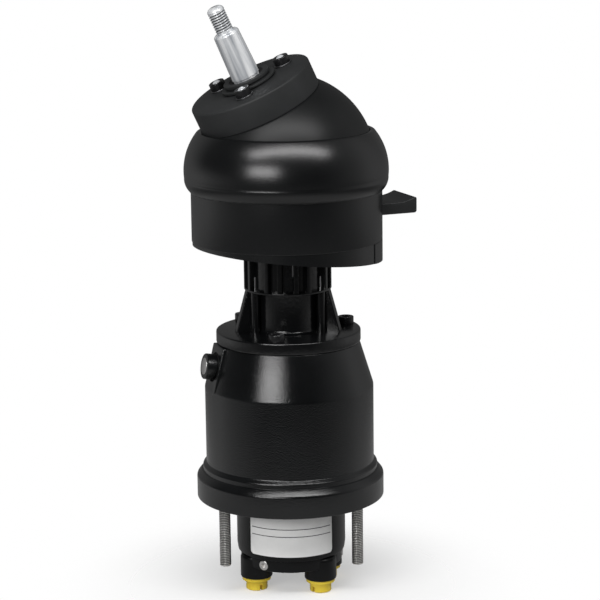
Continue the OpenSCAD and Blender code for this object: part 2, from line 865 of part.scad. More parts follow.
module adapter_flange() {
    gusset_top = adapter_top - ring_t + eps;
    color(black_paint)
        difference() {
            union() {
                rod(adapter_r, housing_top, adapter_z, 0.9);
                rod(tube_r, adapter_z - 1, adapter_top);
                rod(ring_r, adapter_top - ring_t, adapter_top);
                rod(register_r, adapter_top - 1, adapter_top + register_h, 0.5);
                for (turn = neck_screw_turns)
                    at_turn(turn, neck_screw_circle)
                        rod(column_r, adapter_z - 1, adapter_top - 1);
                for (turn = [-75, 75, 165, -165])
                    at_turn(turn)
                        translate([-gusset_t / 2, 0, 0])
                            rotate([90, 0, 90])
                                linear_extrude(height = gusset_t)
                                    polygon([[-tube_r + 3, adapter_z - 1], [-gusset_foot, adapter_z - 1],
                                        [-gusset_foot, adapter_z], [-ring_r + 0.6, gusset_top],
                                        [-tube_r + 3, gusset_top]]);
            }
            rod(tube_bore, housing_top - 1, adapter_top + register_h + 1);
            for (turn = adapter_bolt_turns)
                at_turn(turn, adapter_bolt_circle, housing_top - 1)
                    cylinder(r = adapter_bolt_r + screw_gap, h = adapter_t + 4);
            for (turn = neck_screw_turns)
                at_turn(turn, neck_screw_circle, housing_top - 1) {
                    cylinder(r = neck_screw_r + screw_gap, h = adapter_top - housing_top + 4);
                    cylinder(r = neck_screw_r + 1.8, h = 1 + neck_screw_sink);
                }
        }
}

module adapter_bolts() {
    color(black_paint)
        for (turn = adapter_bolt_turns)
            at_turn(turn, adapter_bolt_circle, adapter_z)
                socket_screw(adapter_bolt_r, adapter_t + top_plate - 2.8, adapter_bolt_r + 2.6, 5.2);
}

module under_cut() {
    in_tilt()
        translate([0, 0, under_z])
            rotate([0, under_lean, 0])
                translate([-far / 2, -far / 2, 0])
                    cube([far, far, 60]);
}

module neck_tube() {
    color(black_paint)
        difference() {
            translate([0, 0, adapter_top])
                linear_extrude(height = neck_len + under_drop)
                    difference() {
                        union() {
                            circle(r = neck_core_r);
                            intersection() {
                                circle(r = neck_r);
                                union() {
                                    for (k = [0 : 3])
                                        for (turn = rib_turns)
                                            rotate([0, 0, k * 90 + turn])
                                                translate([-rib_w / 2, -neck_r - 1])
                                                    square([rib_w, neck_r - neck_bore]);
                                }
                            }
                        }
                        circle(r = neck_bore);
                    }
            under_cut();
            for (turn = neck_screw_turns)
                at_turn(turn, neck_screw_circle, adapter_top - 1)
                    cylinder(r = neck_screw_r + snug, h = 11);
            for (k = [0 : 3])
                at_turn(11 + k * 90, base_screw_circle, under_z - 16)
                    cylinder(r = base_screw_r + snug, h = 30);
        }
}

module neck_screws() {
    color(steel)
        for (turn = neck_screw_turns)
            at_turn(turn, neck_screw_circle, housing_top + neck_screw_sink)
                rotate([180, 0, 0])
                    socket_screw(neck_screw_r, adapter_top - housing_top - neck_screw_sink + 9,
                        neck_screw_r + 1.5, 3.4);
}

module neck_bush() {
    color(white)
        ring(neck_bore - snug, drive_r + run, adapter_top + register_h, adapter_top + register_h + 10);
}

module tilt_base() {
    color(black_plastic)
        difference() {
            union() {
                rod(base_r, under_z - under_drop, base_z);
                ring(base_r, skirt_in - 3, base_z - 1, base_z + skirt_lift);
                rod(floor_r, under_z - under_drop, floor_z);
                in_tilt() {
                    rotate_extrude(angle = 94, start = -47)
                        translate([base_r - 6, under_z - under_drop])
                            square([base_step + 6, base_t + under_drop + skirt_lift]);
                    difference() {
                        ring(skirt_in - 0.1, skirt_in - 7, base_z - 1, base_z + 9);
                        translate([0, -lever_w / 2 - 6, base_z])
                            cube([far, lever_w + 12, 20]);
                    }
                    for (side = [-1, 1])
                        along_y(side > 0 ? ear_in : -ear_in - ear_t, side > 0 ? ear_in + ear_t : -ear_in) {
                            translate([0, pivot_z])
                                circle(r = ear_half);
                            translate([-ear_half, base_z - 1])
                                square([ear_half * 2, pivot_z - base_z + 1]);
                        }
                    intersection() {
                        for (side = [-1, 1])
                            along_y(side > 0 ? lever_w / 2 + lug_gap : -lever_w / 2 - lug_gap - lug_t,
                                side > 0 ? lever_w / 2 + lug_gap + lug_t : -lever_w / 2 - lug_gap) {
                                translate([lever_pin_x - lever_hub_r, base_z - 1])
                                    square([lever_hub_r * 2, lever_pin_rise + 1]);
                                translate([lever_pin_x, lever_pin_z])
                                    circle(r = lever_hub_r);
                            }
                        rod(skirt_in - 0.3, base_z - 2, pivot_z);
                    }
                }
            }
            difference() {
                in_tilt()
                    translate([0, 0, under_z])
                        rotate([0, under_lean, 0])
                            translate([-far / 2, -far / 2, -60])
                                cube([far, far, 60]);
                rod(neck_bore - 0.1, under_z - 6, base_z);
            }
            rod(base_hole, under_z - 20, floor_z + 1);
            for (k = [0 : 3])
                at_turn(11 + k * 90, base_screw_circle, under_z - 10)
                    cylinder(r = base_screw_r + screw_gap, h = 40);
            in_tilt() {
                along_y(-ear_in - ear_t - 1, ear_in + ear_t + 1)
                    translate([0, pivot_z])
                        circle(r = pivot_pin_r + snug);
                along_y(-lever_w, lever_w)
                    translate([lever_pin_x, lever_pin_z])
                        circle(r = lever_pin_r + snug);
            }
            for (turn = cover_screw_turns)
                at_turn(turn, skirt_in - 8, cover_screw_z)
                    rotate([90, 0, 0])
                        cylinder(r = cover_screw_r + snug, h = 20);
        }
}

module base_screws() {
    color(steel)
        for (k = [0 : 3])
            at_turn(11 + k * 90, base_screw_circle, floor_z)
                socket_screw(base_screw_r, floor_z - under_z + 13, base_screw_r + 1.7, 4.6);
}

module pivot_pins() {
    color(steel)
        in_tilt()
            translate([0, 0, pivot_z])
                for (side = [-1, 1])
                    rotate([-90 * side, 0, 0])
                        rod(pivot_pin_r, arm_in - 0.6, ear_in + ear_t + 1, 0.5);
}

module cover_2d(inset, top) {
    translate([0, base_z - 1])
        square([skirt_r - inset, low_z - 9 - base_z + 1]);
    intersection() {
        translate([low_x, low_z])
            circle(r = low_round - inset);
        translate([0, low_z - 12])
            square([90, 12]);
    }
    translate([0, low_z - 12])
        square([low_x, 12]);
    intersection() {
        translate([high_x, bulge_z])
            circle(r = high_round - inset);
        translate([0, low_z])
            square([90, top - low_z]);
    }
    translate([0, low_z - eps])
        square([high_x, top - low_z + eps]);
}

module bezel_cover() {
    color(black_plastic)
        difference() {
            rotate_extrude()
                difference() {
                    cover_2d(0, rim_z);
                    cover_2d(cover_t, rim_z + 1);
                    translate([0, pivot_z])
                        circle(r = dome_r + dome_gap, $fn = 96);
                    translate([0, base_z - 2])
                        square([90, skirt_lift + 2]);
                }
            in_tilt()
                translate([skirt_in - 6, -lever_w / 2 - 1.2, paddle_z - 3])
                    cube([12, lever_w + 2.4, lever_t + 7.5]);
            for (turn = cover_screw_turns)
                at_turn(turn, skirt_in - 3, cover_screw_z)
                    rotate([90, 0, 0])
                        cylinder(r = cover_screw_r + screw_gap, h = 20);
        }
}

module cover_screws() {
    color(steel)
        for (turn = cover_screw_turns)
            at_turn(turn, skirt_r, cover_screw_z)
                rotate([90, 0, 0])
                    socket_screw(cover_screw_r, cover_t + 5, 2.8, 1.8);
}

module lever_pin() {
    color(steel)
        in_tilt()
            translate([lever_pin_x, 0, lever_pin_z])
                rotate([90, 0, 0])
                    rod(lever_pin_r, -lever_pin_half, lever_pin_half, 0.4);
}

module lever_spring() {
    color(steel)
        in_tilt()
            translate([lever_pin_x, 0, lever_pin_z]) {
                rotate([90, 0, 0])
                    rotate_extrude()
                        for (k = [-2 : 2])
                            translate([lever_pin_r + 0.9, k * 1.4])
                                circle(r = 0.8);
                translate([-lever_pin_r - 1, 2.1, base_z - lever_pin_z])
                    cylinder(r = 0.6, h = lever_pin_z - base_z);
            }
}

module tilt_yoke() {
    turn_low = nose_turn - rest_tilt - 6;
    turn_top = nose_turn - rest_tilt + notch_step * 4 + 6;
    color(steel)
        in_head()
            difference() {
                union() {
                    for (side = [-1, 1])
                        along_y(side > 0 ? arm_in : -arm_out, side > 0 ? arm_out : -arm_in) {
                            circle(r = ear_half);
                            translate([-ear_half, 0])
                                square([ear_half * 2, flange_top]);
                        }
                    rod(yoke_flange_r, flange_top - yoke_flange_t, flange_top);
                    rod(dome_hole - 0.1, flange_top - 1, hub_low);
                    rod(bearing_r - 0.1, flange_top - 1, bearing_low);
                    rod(head_bush_r + 5, 20, flange_top);
                    along_y(sector_low, sector_low + sector_t)
                        difference() {
                            intersection() {
                                circle(r = sector_r);
                                wedge_2d(turn_low, turn_top + 7);
                            }
                            circle(r = sector_in);
                            for (k = [0 : 4])
                                rotate([0, 0, nose_turn - rest_tilt + k * notch_step])
                                    translate([0, 0.7 - sector_r - notch_r])
                                        circle(r = notch_r);
                        }
                    along_y(sector_low, arm_out)
                        difference() {
                            intersection() {
                                circle(r = sector_r);
                                wedge_2d(turn_top + 1, turn_top + 10);
                            }
                            circle(r = sector_in);
                        }
                    along_y(arm_in, arm_out)
                        intersection() {
                            circle(r = sector_r);
                            wedge_2d(turn_top - 8, turn_top + 16);
                        }
                }
                rod(head_bush_r + snug, 10, flange_top - 6);
                rod(head_bush_r + 1, flange_top - 6 - eps, hub_low);
                rod(race_r + 0.8, hub_low - 1, hub_low + 10);
                along_y(-arm_out - 1, arm_out + 1)
                    circle(r = pivot_pin_r + run);
                for (k = [0 : 2])
                    rotate([0, 0, k * 120])
                        translate([hub_screw_circle, 0, flange_top - yoke_flange_t - 1])
                            cylinder(r = hub_screw_r + snug, h = 20);
            }
}

module dome_cover() {
    color(black_plastic)
        in_head()
            rotate_extrude()
                difference() {
                    intersection() {
                        circle(r = dome_r, $fn = 96);
                        translate([0, -dome_drop])
                            square([dome_r + 1, dome_drop + hub_low]);
                    }
                    intersection() {
                        circle(r = dome_r - dome_t, $fn = 96);
                        translate([0, -dome_drop - 1])
                            square([dome_r + 1, dome_drop + 1 + flange_top]);
                    }
                    square([dome_hole, hub_low + 1]);
                }
}

module hub_housing() {
    color(black_plastic)
        in_head()
            difference() {
                rotate_extrude()
                    difference() {
                        union() {
                            translate([0, hub_low])
                                square([hub_r, hub_t - hub_round]);
                            translate([0, hub_low])
                                square([hub_r - hub_round, hub_t]);
                            translate([hub_r - hub_round, hub_face - hub_round])
                                circle(r = hub_round);
                        }
                        translate([0, hub_low - 1])
                            square([bearing_r + snug, bearing_top - hub_low + 1]);
                        translate([0, bearing_top - 1])
                            square([hub_hole, 10]);
                    }
                for (k = [0 : 2])
                    rotate([0, 0, k * 120])
                        translate([hub_screw_circle, 0, hub_low - 1])
                            cylinder(r = hub_screw_r + screw_gap, h = hub_t + 2);
            }
}

module hub_screws() {
    color(black_paint)
        in_head()
            for (k = [0 : 2])
                rotate([0, 0, k * 120])
                    translate([hub_screw_circle, 0, hub_face + washer_t])
                        socket_screw(hub_screw_r, hub_t + washer_t + 9, hub_head_r, hub_head);
}

module hub_washers() {
    color(zinc)
        in_head()
            for (k = [0 : 2])
                rotate([0, 0, k * 120])
                    translate([hub_screw_circle, 0, hub_face])
                        ring(washer_r, hub_screw_r + screw_gap, 0, washer_t);
}

module seal_retainer() {
    color(black_plastic)
        in_head()
            difference() {
                union() {
                    rod(hub_hole - snug, hub_face - 2.4, hub_face + 1);
                    rod(retainer_low_r, hub_face, hub_face + retainer_low, 0.4);
                    rod(retainer_high_r, hub_face + 1, retainer_face, 0.5);
                }
                rod(retainer_bore, hub_face - 5, retainer_face + 1);
            }
}

module hub_seal() {
    color(rubber)
        in_head()
            rotate_extrude()
                polygon([[journal_r + run, hub_face + 0.4], [retainer_bore - snug, hub_face + 0.4],
                    [retainer_bore - snug, retainer_face - 0.6], [journal_r + 1.6, retainer_face - 0.6],
                    [journal_r + run, retainer_face - 2]]);
}

module bearing_outer_ring() {
    color(steel)
        in_head()
            rotate_extrude()
                difference() {
                    translate([race_r + race_gap, bearing_low])
                        square([bearing_r - race_r - race_gap, bearing_w]);
                    translate([race_r, bearing_mid])
                        circle(r = bearing_ball_r + run);
                }
}

module head_bush() {
    color(bronze)
        in_head()
            ring(head_bush_r, wheel_r + run, 20, flange_top - 6);
}

module steering_shaft() {
    seat = bearing_bore - snug;
    color(zinc)
        in_head()
            difference() {
                union() {
                    sphere(r = ball_r);
                    rod(ball_r - 3, 2, 19);
                    rotate_extrude()
                        polygon([[0, 16], [wheel_r - 1.4, 16], [wheel_r, 18], [wheel_r, bearing_low - 3],
                            [bearing_bore + 1.5, bearing_low - 3], [bearing_bore + 1.5, bearing_low],
                            [seat, bearing_low], [seat, bearing_top + clip_t + 0.4],
                            [journal_r, bearing_top + clip_t + 0.6], [journal_r, retainer_face + 0.2],
                            [wheel_r, retainer_face + 0.5], [wheel_r, wheel_top - 1],
                            [wheel_r - 1, wheel_top], [thread_r, wheel_top], [thread_r, thread_top - 1.6],
                            [thread_r - 1.8, thread_top], [0, thread_top]]);
                }
                ring(bearing_bore + 1, bearing_bore - 0.8, bearing_top, bearing_top + clip_t);
                along_y(-ball_r - 1, ball_r + 1)
                    circle(r = trunnion_r + snug);
                translate([-key_w / 2, wheel_r - 3, key_low])
                    cube([key_w, 6, key_len]);
            }
}

module bearing_inner_ring() {
    color(steel)
        in_head()
            rotate_extrude()
                difference() {
                    translate([bearing_bore, bearing_low])
                        square([race_r - race_gap - bearing_bore, bearing_w]);
                    translate([race_r, bearing_mid])
                        circle(r = bearing_ball_r + run);
                }
}

module retaining_ring() {
    color(steel)
        in_head()
            translate([0, 0, bearing_top])
                linear_extrude(height = clip_t)
                    difference() {
                        circle(r = retainer_bore - 0.3);
                        circle(r = bearing_bore - 0.8 + snug);
                        translate([0, -2.5])
                            square([20, 5]);
                    }
}

module trunnion_pin() {
    color(steel)
        in_head()
            rotate([90, 0, 0])
                rod(trunnion_r, -trunnion_half, trunnion_half, 0.4);
}

module bearing_balls() {
    color(zinc)
        in_head()
            for (k = [0 : bearing_ball_count - 1])
                rotate([0, 0, k * 360 / bearing_ball_count])
                    translate([race_r, 0, bearing_mid])
                        sphere(r = bearing_ball_r, $fn = 32);
}

module bearing_cage() {
    color(bronze)
        in_head()
            difference() {
                ring(race_r + 1.5, race_r - 1.5, bearing_mid + 1.6, bearing_mid + 4.2);
                for (k = [0 : bearing_ball_count - 1])
                    rotate([0, 0, k * 360 / bearing_ball_count])
                        translate([race_r, 0, bearing_mid])
                            sphere(r = bearing_ball_r + run, $fn = 32);
            }
}

module pump_shaft() {
    color(steel)
        difference() {
            union() {
                translate([0, 0, shaft_low])
                    cylinder(r = hex_r, h = rotor_top - shaft_low + 1, $fn = 6);
                rod(drive_r, rotor_top, split_z - 0.5, 0.5);
            }
            translate([0, 0, split_z - pin_turns[0]])
                rotate([90, 0, 0])
                    cylinder(r = sleeve_pin_r + snug, h = sleeve_r * 3, center = true);
        }
}

module rotor() {
    color(steel)
        difference() {
            rod(rotor_r, rotor_low, rotor_top, 0.5);
            translate([0, 0, rotor_low - 1])
                cylinder(r = hex_r + run, h = rotor_len + 2, $fn = 6);
            for (k = [0 : piston_count - 1])
                rotate([0, 0, k * 360 / piston_count])
                    translate([piston_circle, 0, 0]) {
                        rod(piston_r + run, piston_low, rotor_top + 1);
                        rod(2.2, rotor_low - 1, piston_low + 1);
                    }
        }
}

module pistons() {
    color(zinc)
        for (k = [0 : piston_count - 1])
            rotate([0, 0, k * 360 / piston_count])
                translate([piston_circle, 0, piston_low])
                    rod(piston_r, 0, piston_len, 0.8);
}

module coupling_sleeve() {
    color(steel)
        difference() {
            ring(sleeve_r, drive_r + snug, sleeve_low, sleeve_low + sleeve_len);
            for (drop = pin_turns)
                translate([0, 0, split_z - drop])
                    rotate([90, 0, 0])
                        cylinder(r = sleeve_pin_r + snug, h = sleeve_r * 3, center = true);
        }
}

module coupling_pins() {
    color(zinc)
        for (drop = pin_turns)
            translate([0, 0, split_z - drop])
                rotate([90, 0, 0])
                    rod(sleeve_pin_r, -sleeve_r, sleeve_r, 0.3);
}

module joint_shaft() {
    color(steel)
        difference() {
            union() {
                rod(drive_r, split_z + 0.5, pivot_z - 12, 0.5);
                rotate_extrude()
                    polygon([[0, pivot_z - 18], [drive_r, pivot_z - 18], [cup_r, pivot_z - 13],
                        [cup_r, pivot_z + cup_rim], [0, pivot_z + cup_rim]]);
            }
            rod(cup_bore, pivot_z - ball_r - 0.3, pivot_z + 20);
            in_tilt()
                translate([-slot_half, -cup_r * 2, pivot_z - slot_drop])
                    cube([slot_half * 2, cup_r * 4, slot_drop * 4]);
            translate([0, 0, split_z - pin_turns[1]])
                rotate([90, 0, 0])
                    cylinder(r = sleeve_pin_r + snug, h = sleeve_r * 3, center = true);
        }
}

module tilt_lever() {
    tip = paddle_z + lever_t;
    color(black_plastic)
        in_tilt()
            difference() {
                union() {
                    along_y(-lever_w / 2, lever_w / 2)
                        polygon([[lever_pin_x + 1.6, lever_pin_z], [lever_pin_x + 4.2, lever_pin_z],
                            [lever_pin_x + 4.4, paddle_z - 2], [lever_pin_x + 8.6, paddle_z],
                            [lever_reach - 2.2, paddle_z], [lever_reach - 0.7, paddle_z + 0.6],
                            [lever_reach, paddle_z + 2.1], [lever_reach, tip + lever_lip - 0.8],
                            [lever_reach - 0.5, tip + lever_lip - 0.1], [lever_reach - 1.6, tip + lever_lip],
                            [lever_reach - 3.6, tip + lever_lip * 0.72],
                            [lever_reach - 6.6, tip + lever_lip * 0.33],
                            [lever_reach - 10.5, tip + lever_lip * 0.08],
                            [lever_reach - 14, tip], [lever_pin_x + 1.6, tip]]);
                    along_y(-lever_w / 2, lever_w / 2)
                        translate([lever_pin_x, lever_pin_z])
                            circle(r = lever_hub_r);
                    along_y(sector_low, sector_low + sector_t) {
                        polygon([[lever_pin_x, lever_pin_z + lever_hub_r - 0.2],
                            [lever_pin_x - 8, lever_pin_z + lever_hub_r - 0.8],
                            [nose_x + 5.8, nose_z - 2.6], [nose_x + nose_r, nose_z],
                            [nose_x - nose_r, nose_z],
                            [nose_x - 0.2, nose_z - 8.2], [lever_pin_x - 8, lever_pin_z - lever_hub_r + 0.8],
                            [lever_pin_x, lever_pin_z - lever_hub_r + 0.2]]);
                        translate([nose_x, nose_z])
                            circle(r = nose_r);
                    }
                }
                along_y(-5, 5)
                    translate([lever_pin_x - 8, lever_pin_z - 8])
                        square([16, lever_hub_r + 8]);
                along_y(-lever_w, lever_w)
                    translate([lever_pin_x, lever_pin_z])
                        circle(r = lever_pin_r + run);
            }
}

pump_housing();
filler_plug();
filler_seal();
mounting_studs();
pump_block();
block_seal();
block_screws();
end_cap();
cap_screws();
side_plugs();
port_plug_left();
port_plug_right();
port_plug_rear();
valve_plug();
rating_label();
valve_plate();
swash_plate();
swash_screws();
housing_bush();
shaft_seal();
adapter_flange();
adapter_bolts();
neck_tube();
neck_screws();
neck_bush();
tilt_base();
base_screws();
pivot_pins();
bezel_cover();
cover_screws();
lever_pin();
lever_spring();
tilt_yoke();
dome_cover();
hub_housing();
hub_screws();
hub_washers();
seal_retainer();
hub_seal();
bearing_outer_ring();
head_bush();
steering_shaft();
bearing_inner_ring();
retaining_ring();
trunnion_pin();
bearing_balls();
bearing_cage();
pump_shaft();
rotor();
pistons();
coupling_sleeve();
coupling_pins();
joint_shaft();
tilt_lever();
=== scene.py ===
import math

import bmesh
import bpy
from mathutils import Matrix, Vector


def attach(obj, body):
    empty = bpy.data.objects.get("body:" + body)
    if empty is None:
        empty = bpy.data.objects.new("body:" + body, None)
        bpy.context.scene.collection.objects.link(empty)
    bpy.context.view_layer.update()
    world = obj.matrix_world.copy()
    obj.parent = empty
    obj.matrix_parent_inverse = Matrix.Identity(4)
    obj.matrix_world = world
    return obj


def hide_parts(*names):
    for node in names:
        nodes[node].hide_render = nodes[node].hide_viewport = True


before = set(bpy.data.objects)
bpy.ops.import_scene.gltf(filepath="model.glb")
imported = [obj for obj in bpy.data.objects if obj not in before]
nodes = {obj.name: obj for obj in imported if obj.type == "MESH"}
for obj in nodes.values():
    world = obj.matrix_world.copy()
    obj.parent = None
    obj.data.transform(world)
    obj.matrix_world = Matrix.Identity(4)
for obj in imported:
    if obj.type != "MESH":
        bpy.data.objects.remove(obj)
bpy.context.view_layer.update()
print("frame loaded,", len(nodes), "CAD nodes")

mm = 0.001
flatAngle = math.radians(32)
edgeSegments = 3
near = {"same": 1e-6, "cut": 1e-5, "weld": 1e-4, "sliver": 1e-3, "join": 2e-3}


def turnBy(degrees, axis="Z"):
    return Matrix.Rotation(math.radians(degrees), 4, axis)


def shift(x=0, y=0, z=0):
    return Matrix.Translation((x, y, z))


def turnTo(turn, reach=0, z=0):
    # a place round the pump axis; at turn 0 it lies at the front, towards -Y
    return turnBy(turn) @ shift(y=-reach, z=z)


# frames of the source: the tilt turned about the pump axis, and the head leaning in it
tilt = {"turn": 22, "pivotZ": 236.4, "rest": -25}
tiltFrame = turnBy(tilt["turn"])
headFrame = tiltFrame @ shift(z=tilt["pivotZ"]) @ turnBy(tilt["rest"], "Y")
upright = Matrix.Identity(4)
standOnY = turnBy(90, "X")


# mesh helpers, all in millimetres until a piece is finished


def bevel(bm, geom, offset, segments, affect="EDGES"):
    bmesh.ops.bevel(bm, geom=geom, offset=offset, offset_type="OFFSET", affect=affect, segments=segments,
                    profile=0.5, material=-1, clamp_overlap=True)


def profileFace(bm, points, segments):
    # a flat outline in X and Z; a third number rounds that corner, and equal rounds are made together
    verts = [bm.verts.new((p[0], 0, p[1])) for p in points]
    bm.faces.new(verts)
    rounds = [p[2] if len(p) > 2 else 0 for p in points]
    for radius in sorted({r for r in rounds if r > 0}, reverse=True):
        corners = [v for v, r in zip(verts, rounds) if r == radius and v.is_valid]
        bevel(bm, corners, radius, segments, "VERTICES")


def lathe(points, steps, segments=4):
    bm = bmesh.new()
    profileFace(bm, points, segments)
    bmesh.ops.delete(bm, geom=bm.faces[:], context="FACES_ONLY")
    onAxis = [e for e in bm.edges if max(abs(v.co.x) for v in e.verts) < near["same"]]
    bmesh.ops.delete(bm, geom=onAxis, context="EDGES")
    bmesh.ops.spin(bm, geom=bm.verts[:] + bm.edges[:], cent=(0, 0, 0), axis=(0, 0, 1),
                   angle=math.tau, steps=steps, use_merge=True)
    bmesh.ops.remove_doubles(bm, verts=bm.verts[:], dist=near["weld"])
    bmesh.ops.recalc_face_normals(bm, faces=bm.faces[:])
    return bm


def barrel(radius, low, high, steps, rounds=(0, 0), segments=4, bore=0):
    # a plain round piece with its lower and upper edges rounded
    return lathe([(bore, low), (radius, low, rounds[0]), (radius, high, rounds[1]), (bore, high)],
                 steps, segments)


def slab(points, low, high, segments=4, edge=0.0):
    # an outline in X and Z pushed along Y, with its edges eased
    bm = bmesh.new()
    profileFace(bm, points, segments)
    bmesh.ops.translate(bm, verts=bm.verts[:], vec=(0, low, 0))
    pushed = bmesh.ops.extrude_face_region(bm, geom=bm.faces[:])["geom"]
    bmesh.ops.translate(bm, verts=[g for g in pushed if isinstance(g, bmesh.types.BMVert)],
                        vec=(0, high - low, 0))
    bmesh.ops.recalc_face_normals(bm, faces=bm.faces[:])
    if edge:
        rims = [e for e in bm.edges if abs(e.verts[0].co.y - e.verts[1].co.y) < near["same"]]
        bevel(bm, rims, edge, edgeSegments)
    return bm


def cylinder(radius, depth, segments=32):
    bm = bmesh.new()
    bmesh.ops.create_cone(bm, cap_ends=True, cap_tris=False, segments=segments, radius1=radius,
                          radius2=radius, depth=depth)
    return bm


def brick(x, y, z):
    bm = bmesh.new()
    bmesh.ops.create_cube(bm, size=1)
    bmesh.ops.scale(bm, vec=(x, y, z), verts=bm.verts[:])
    return bm


def moved(bm, matrix):
    bmesh.ops.transform(bm, matrix=matrix, verts=bm.verts[:])
    return bm


def addTo(bm, other, matrix=upright):
    # puts the faces of another bmesh into this one
    scratch = bpy.data.meshes.new("scratch")
    moved(other, matrix).to_mesh(scratch)
    other.free()
    bm.from_mesh(scratch)
    bpy.data.meshes.remove(scratch)
    return bm


def addRing(bm, make, turns, reach, z=0, stand=upright):
    # one made bmesh at each turn round the pump axis
    for turn in turns:
        addTo(bm, make(), turnTo(turn, reach, z) @ stand)
    return bm


def newObject(name, bm):
    mesh = bpy.data.meshes.new(name)
    bm.to_mesh(mesh)
    bm.free()
    made = bpy.data.objects.new(name, mesh)
    bpy.context.scene.collection.objects.link(made)
    return made


def combine(bm, tools):
    # tools is a list of (how, bmesh); returns the joined or cut bmesh
    body = newObject("body", bm)
    helpers = []
    for how, tool in tools:
        helper = newObject("tool", tool)
        helpers.append(helper)
        step = body.modifiers.new(how, "BOOLEAN")
        step.operation, step.solver, step.object = how, "EXACT", helper
    result = body.evaluated_get(bpy.context.evaluated_depsgraph_get()).to_mesh()
    done = bmesh.new()
    done.from_mesh(result)
    for scrap in [body] + helpers:
        mesh = scrap.data
        bpy.data.objects.remove(scrap)
        bpy.data.meshes.remove(mesh)
    bmesh.ops.remove_doubles(done, verts=done.verts[:], dist=near["join"])
    bmesh.ops.dissolve_degenerate(done, edges=done.edges[:], dist=near["sliver"])
    return done


def finishPiece(name, bm, material, body, stands, matrix=upright):
    piece = newObject(name, moved(bm, Matrix.Scale(mm, 4) @ matrix))
    mesh = piece.data
    mesh.materials.append(material)
    mesh.polygons.foreach_set("use_smooth", [True] * len(mesh.polygons))
    mesh.set_sharp_from_angle(angle=flatAngle)
    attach(piece, body)
    if stands:
        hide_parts(*stands)


def reachOf(v):
    return math.hypot(v.co.x, v.co.y)


def squeeze(v, ease):
    v.co.x *= ease
    v.co.y *= ease


def clamped(value):
    return min(1.0, max(0.0, value))


thread = {"root": 1.35, "flank": 4.2}


def threadRod(radius, pitch, depth, low, high, tip, foot, steps=40, perTurn=8):
    # a spun rod whose close rings are pushed in along a helix; tip and foot are plain lengths, and
    # the point attribute root says how deep in the thread a point lies, which the finishes use to paint shade
    # in the roots
    count = int((high - low) / pitch * perTurn)
    rings = [(radius, low + (high - low) * k / count) for k in range(count + 1)]
    bm = lathe([(0, low)] + rings + [(0, high)], steps)
    root = bm.verts.layers.float.new("root")
    for v in bm.verts:
        if reachOf(v) < radius * 0.5:
            continue
        phase = (v.co.z / pitch - math.atan2(v.co.y, v.co.x) / math.tau) % 1.0
        cut = clamped(thread["root"] - abs(phase - 0.5) * thread["flank"])
        fade = min(clamped((high - tip - v.co.z) / pitch), clamped((v.co.z - low - foot) / pitch))
        v[root] = cut * fade
        squeeze(v, 1 - depth * cut * fade / radius)
    return bm


screwHead = {"edge": 0.1, "mouth": 1.28, "mouthRound": 0.12, "floor": 1.12, "dish": 0.25, "ridgeLow": 0.12,
             "ridgeHigh": 0.88, "over": 0.3}


def socketHead(radius, height, socket, depth, ridges=30, ridge=0.12):
    # a cap screw head with a ridged side and a six-sided socket
    s = screwHead
    edge, dish = radius * s["edge"], height - s["dish"]
    bm = lathe([(0, 0), (radius, 0, edge * 0.5), (radius, height, edge),
                (socket * s["mouth"], height, s["mouthRound"]), (socket * s["floor"], dish), (0, dish)],
               ridges * 2, 3)
    for v in bm.verts:
        onSide = reachOf(v) > radius - near["sliver"]
        if onSide and height * s["ridgeLow"] < v.co.z < height * s["ridgeHigh"]:
            turn = math.atan2(v.co.y, v.co.x) * ridges
            squeeze(v, 1 - ridge * (0.5 + 0.5 * math.cos(turn)) / radius)
    hexagon = moved(cylinder(socket, depth, 6), shift(z=height - depth / 2 + s["over"]))
    return combine(bm, [("DIFFERENCE", hexagon)])


# materials


def newMaterial(name, colour, rough, metal=0.0, specular=0.5):
    made = bpy.data.materials.new(name)
    made.use_nodes = True
    tree = made.node_tree
    shader = tree.nodes["Principled BSDF"]
    shader.inputs["Base Color"].default_value = (*colour, 1)
    shader.inputs["Roughness"].default_value = rough
    shader.inputs["Metallic"].default_value = metal
    shader.inputs["Specular IOR Level"].default_value = specular
    place = tree.nodes.new("ShaderNodeTexCoord")
    return made, tree, shader, place.outputs["Object"]


def feed(tree, socket, value):
    # another node's output is linked, and a plain value is set on the socket
    if isinstance(value, bpy.types.NodeSocket):
        tree.links.new(value, socket)
    else:
        socket.default_value = value


def mathNode(tree, operation, *values):
    node = tree.nodes.new("ShaderNodeMath")
    node.operation = operation
    for socket, value in zip(node.inputs, values):
        feed(tree, socket, value)
    return node.outputs["Value"]


def mixNode(tree, factor, a, b, kind="FLOAT"):
    node = tree.nodes.new("ShaderNodeMix")
    node.data_type = kind
    for name, value in (("Factor", factor), ("A", a), ("B", b)):
        feed(tree, node.inputs[name], value)
    return node.outputs["Result"]


def mapRange(tree, source, toLow, toHigh, span=(0.0, 1.0), ease="LINEAR"):
    node = tree.nodes.new("ShaderNodeMapRange")
    node.interpolation_type = ease
    for name, value in (("Value", source), ("From Min", span[0]), ("From Max", span[1]),
                        ("To Min", toLow), ("To Max", toHigh)):
        feed(tree, node.inputs[name], value)
    return node.outputs["Result"]


def splitNode(tree, coords):
    split = tree.nodes.new("ShaderNodeSeparateXYZ")
    tree.links.new(coords, split.inputs["Vector"])
    return split.outputs["X"], split.outputs["Y"], split.outputs["Z"]


def noiseNode(tree, coords, scale, detail=2.0, stretch=None, turn=None):
    noise = tree.nodes.new("ShaderNodeTexNoise")
    noise.inputs["Scale"].default_value = scale
    noise.inputs["Detail"].default_value = detail
    if stretch:
        mapping = tree.nodes.new("ShaderNodeMapping")
        mapping.vector_type = "TEXTURE"
        mapping.inputs["Scale"].default_value = stretch
        mapping.inputs["Rotation"].default_value = turn
        tree.links.new(coords, mapping.inputs["Vector"])
        coords = mapping.outputs["Vector"]
    tree.links.new(coords, noise.inputs["Vector"])
    return noise.outputs["Fac"]


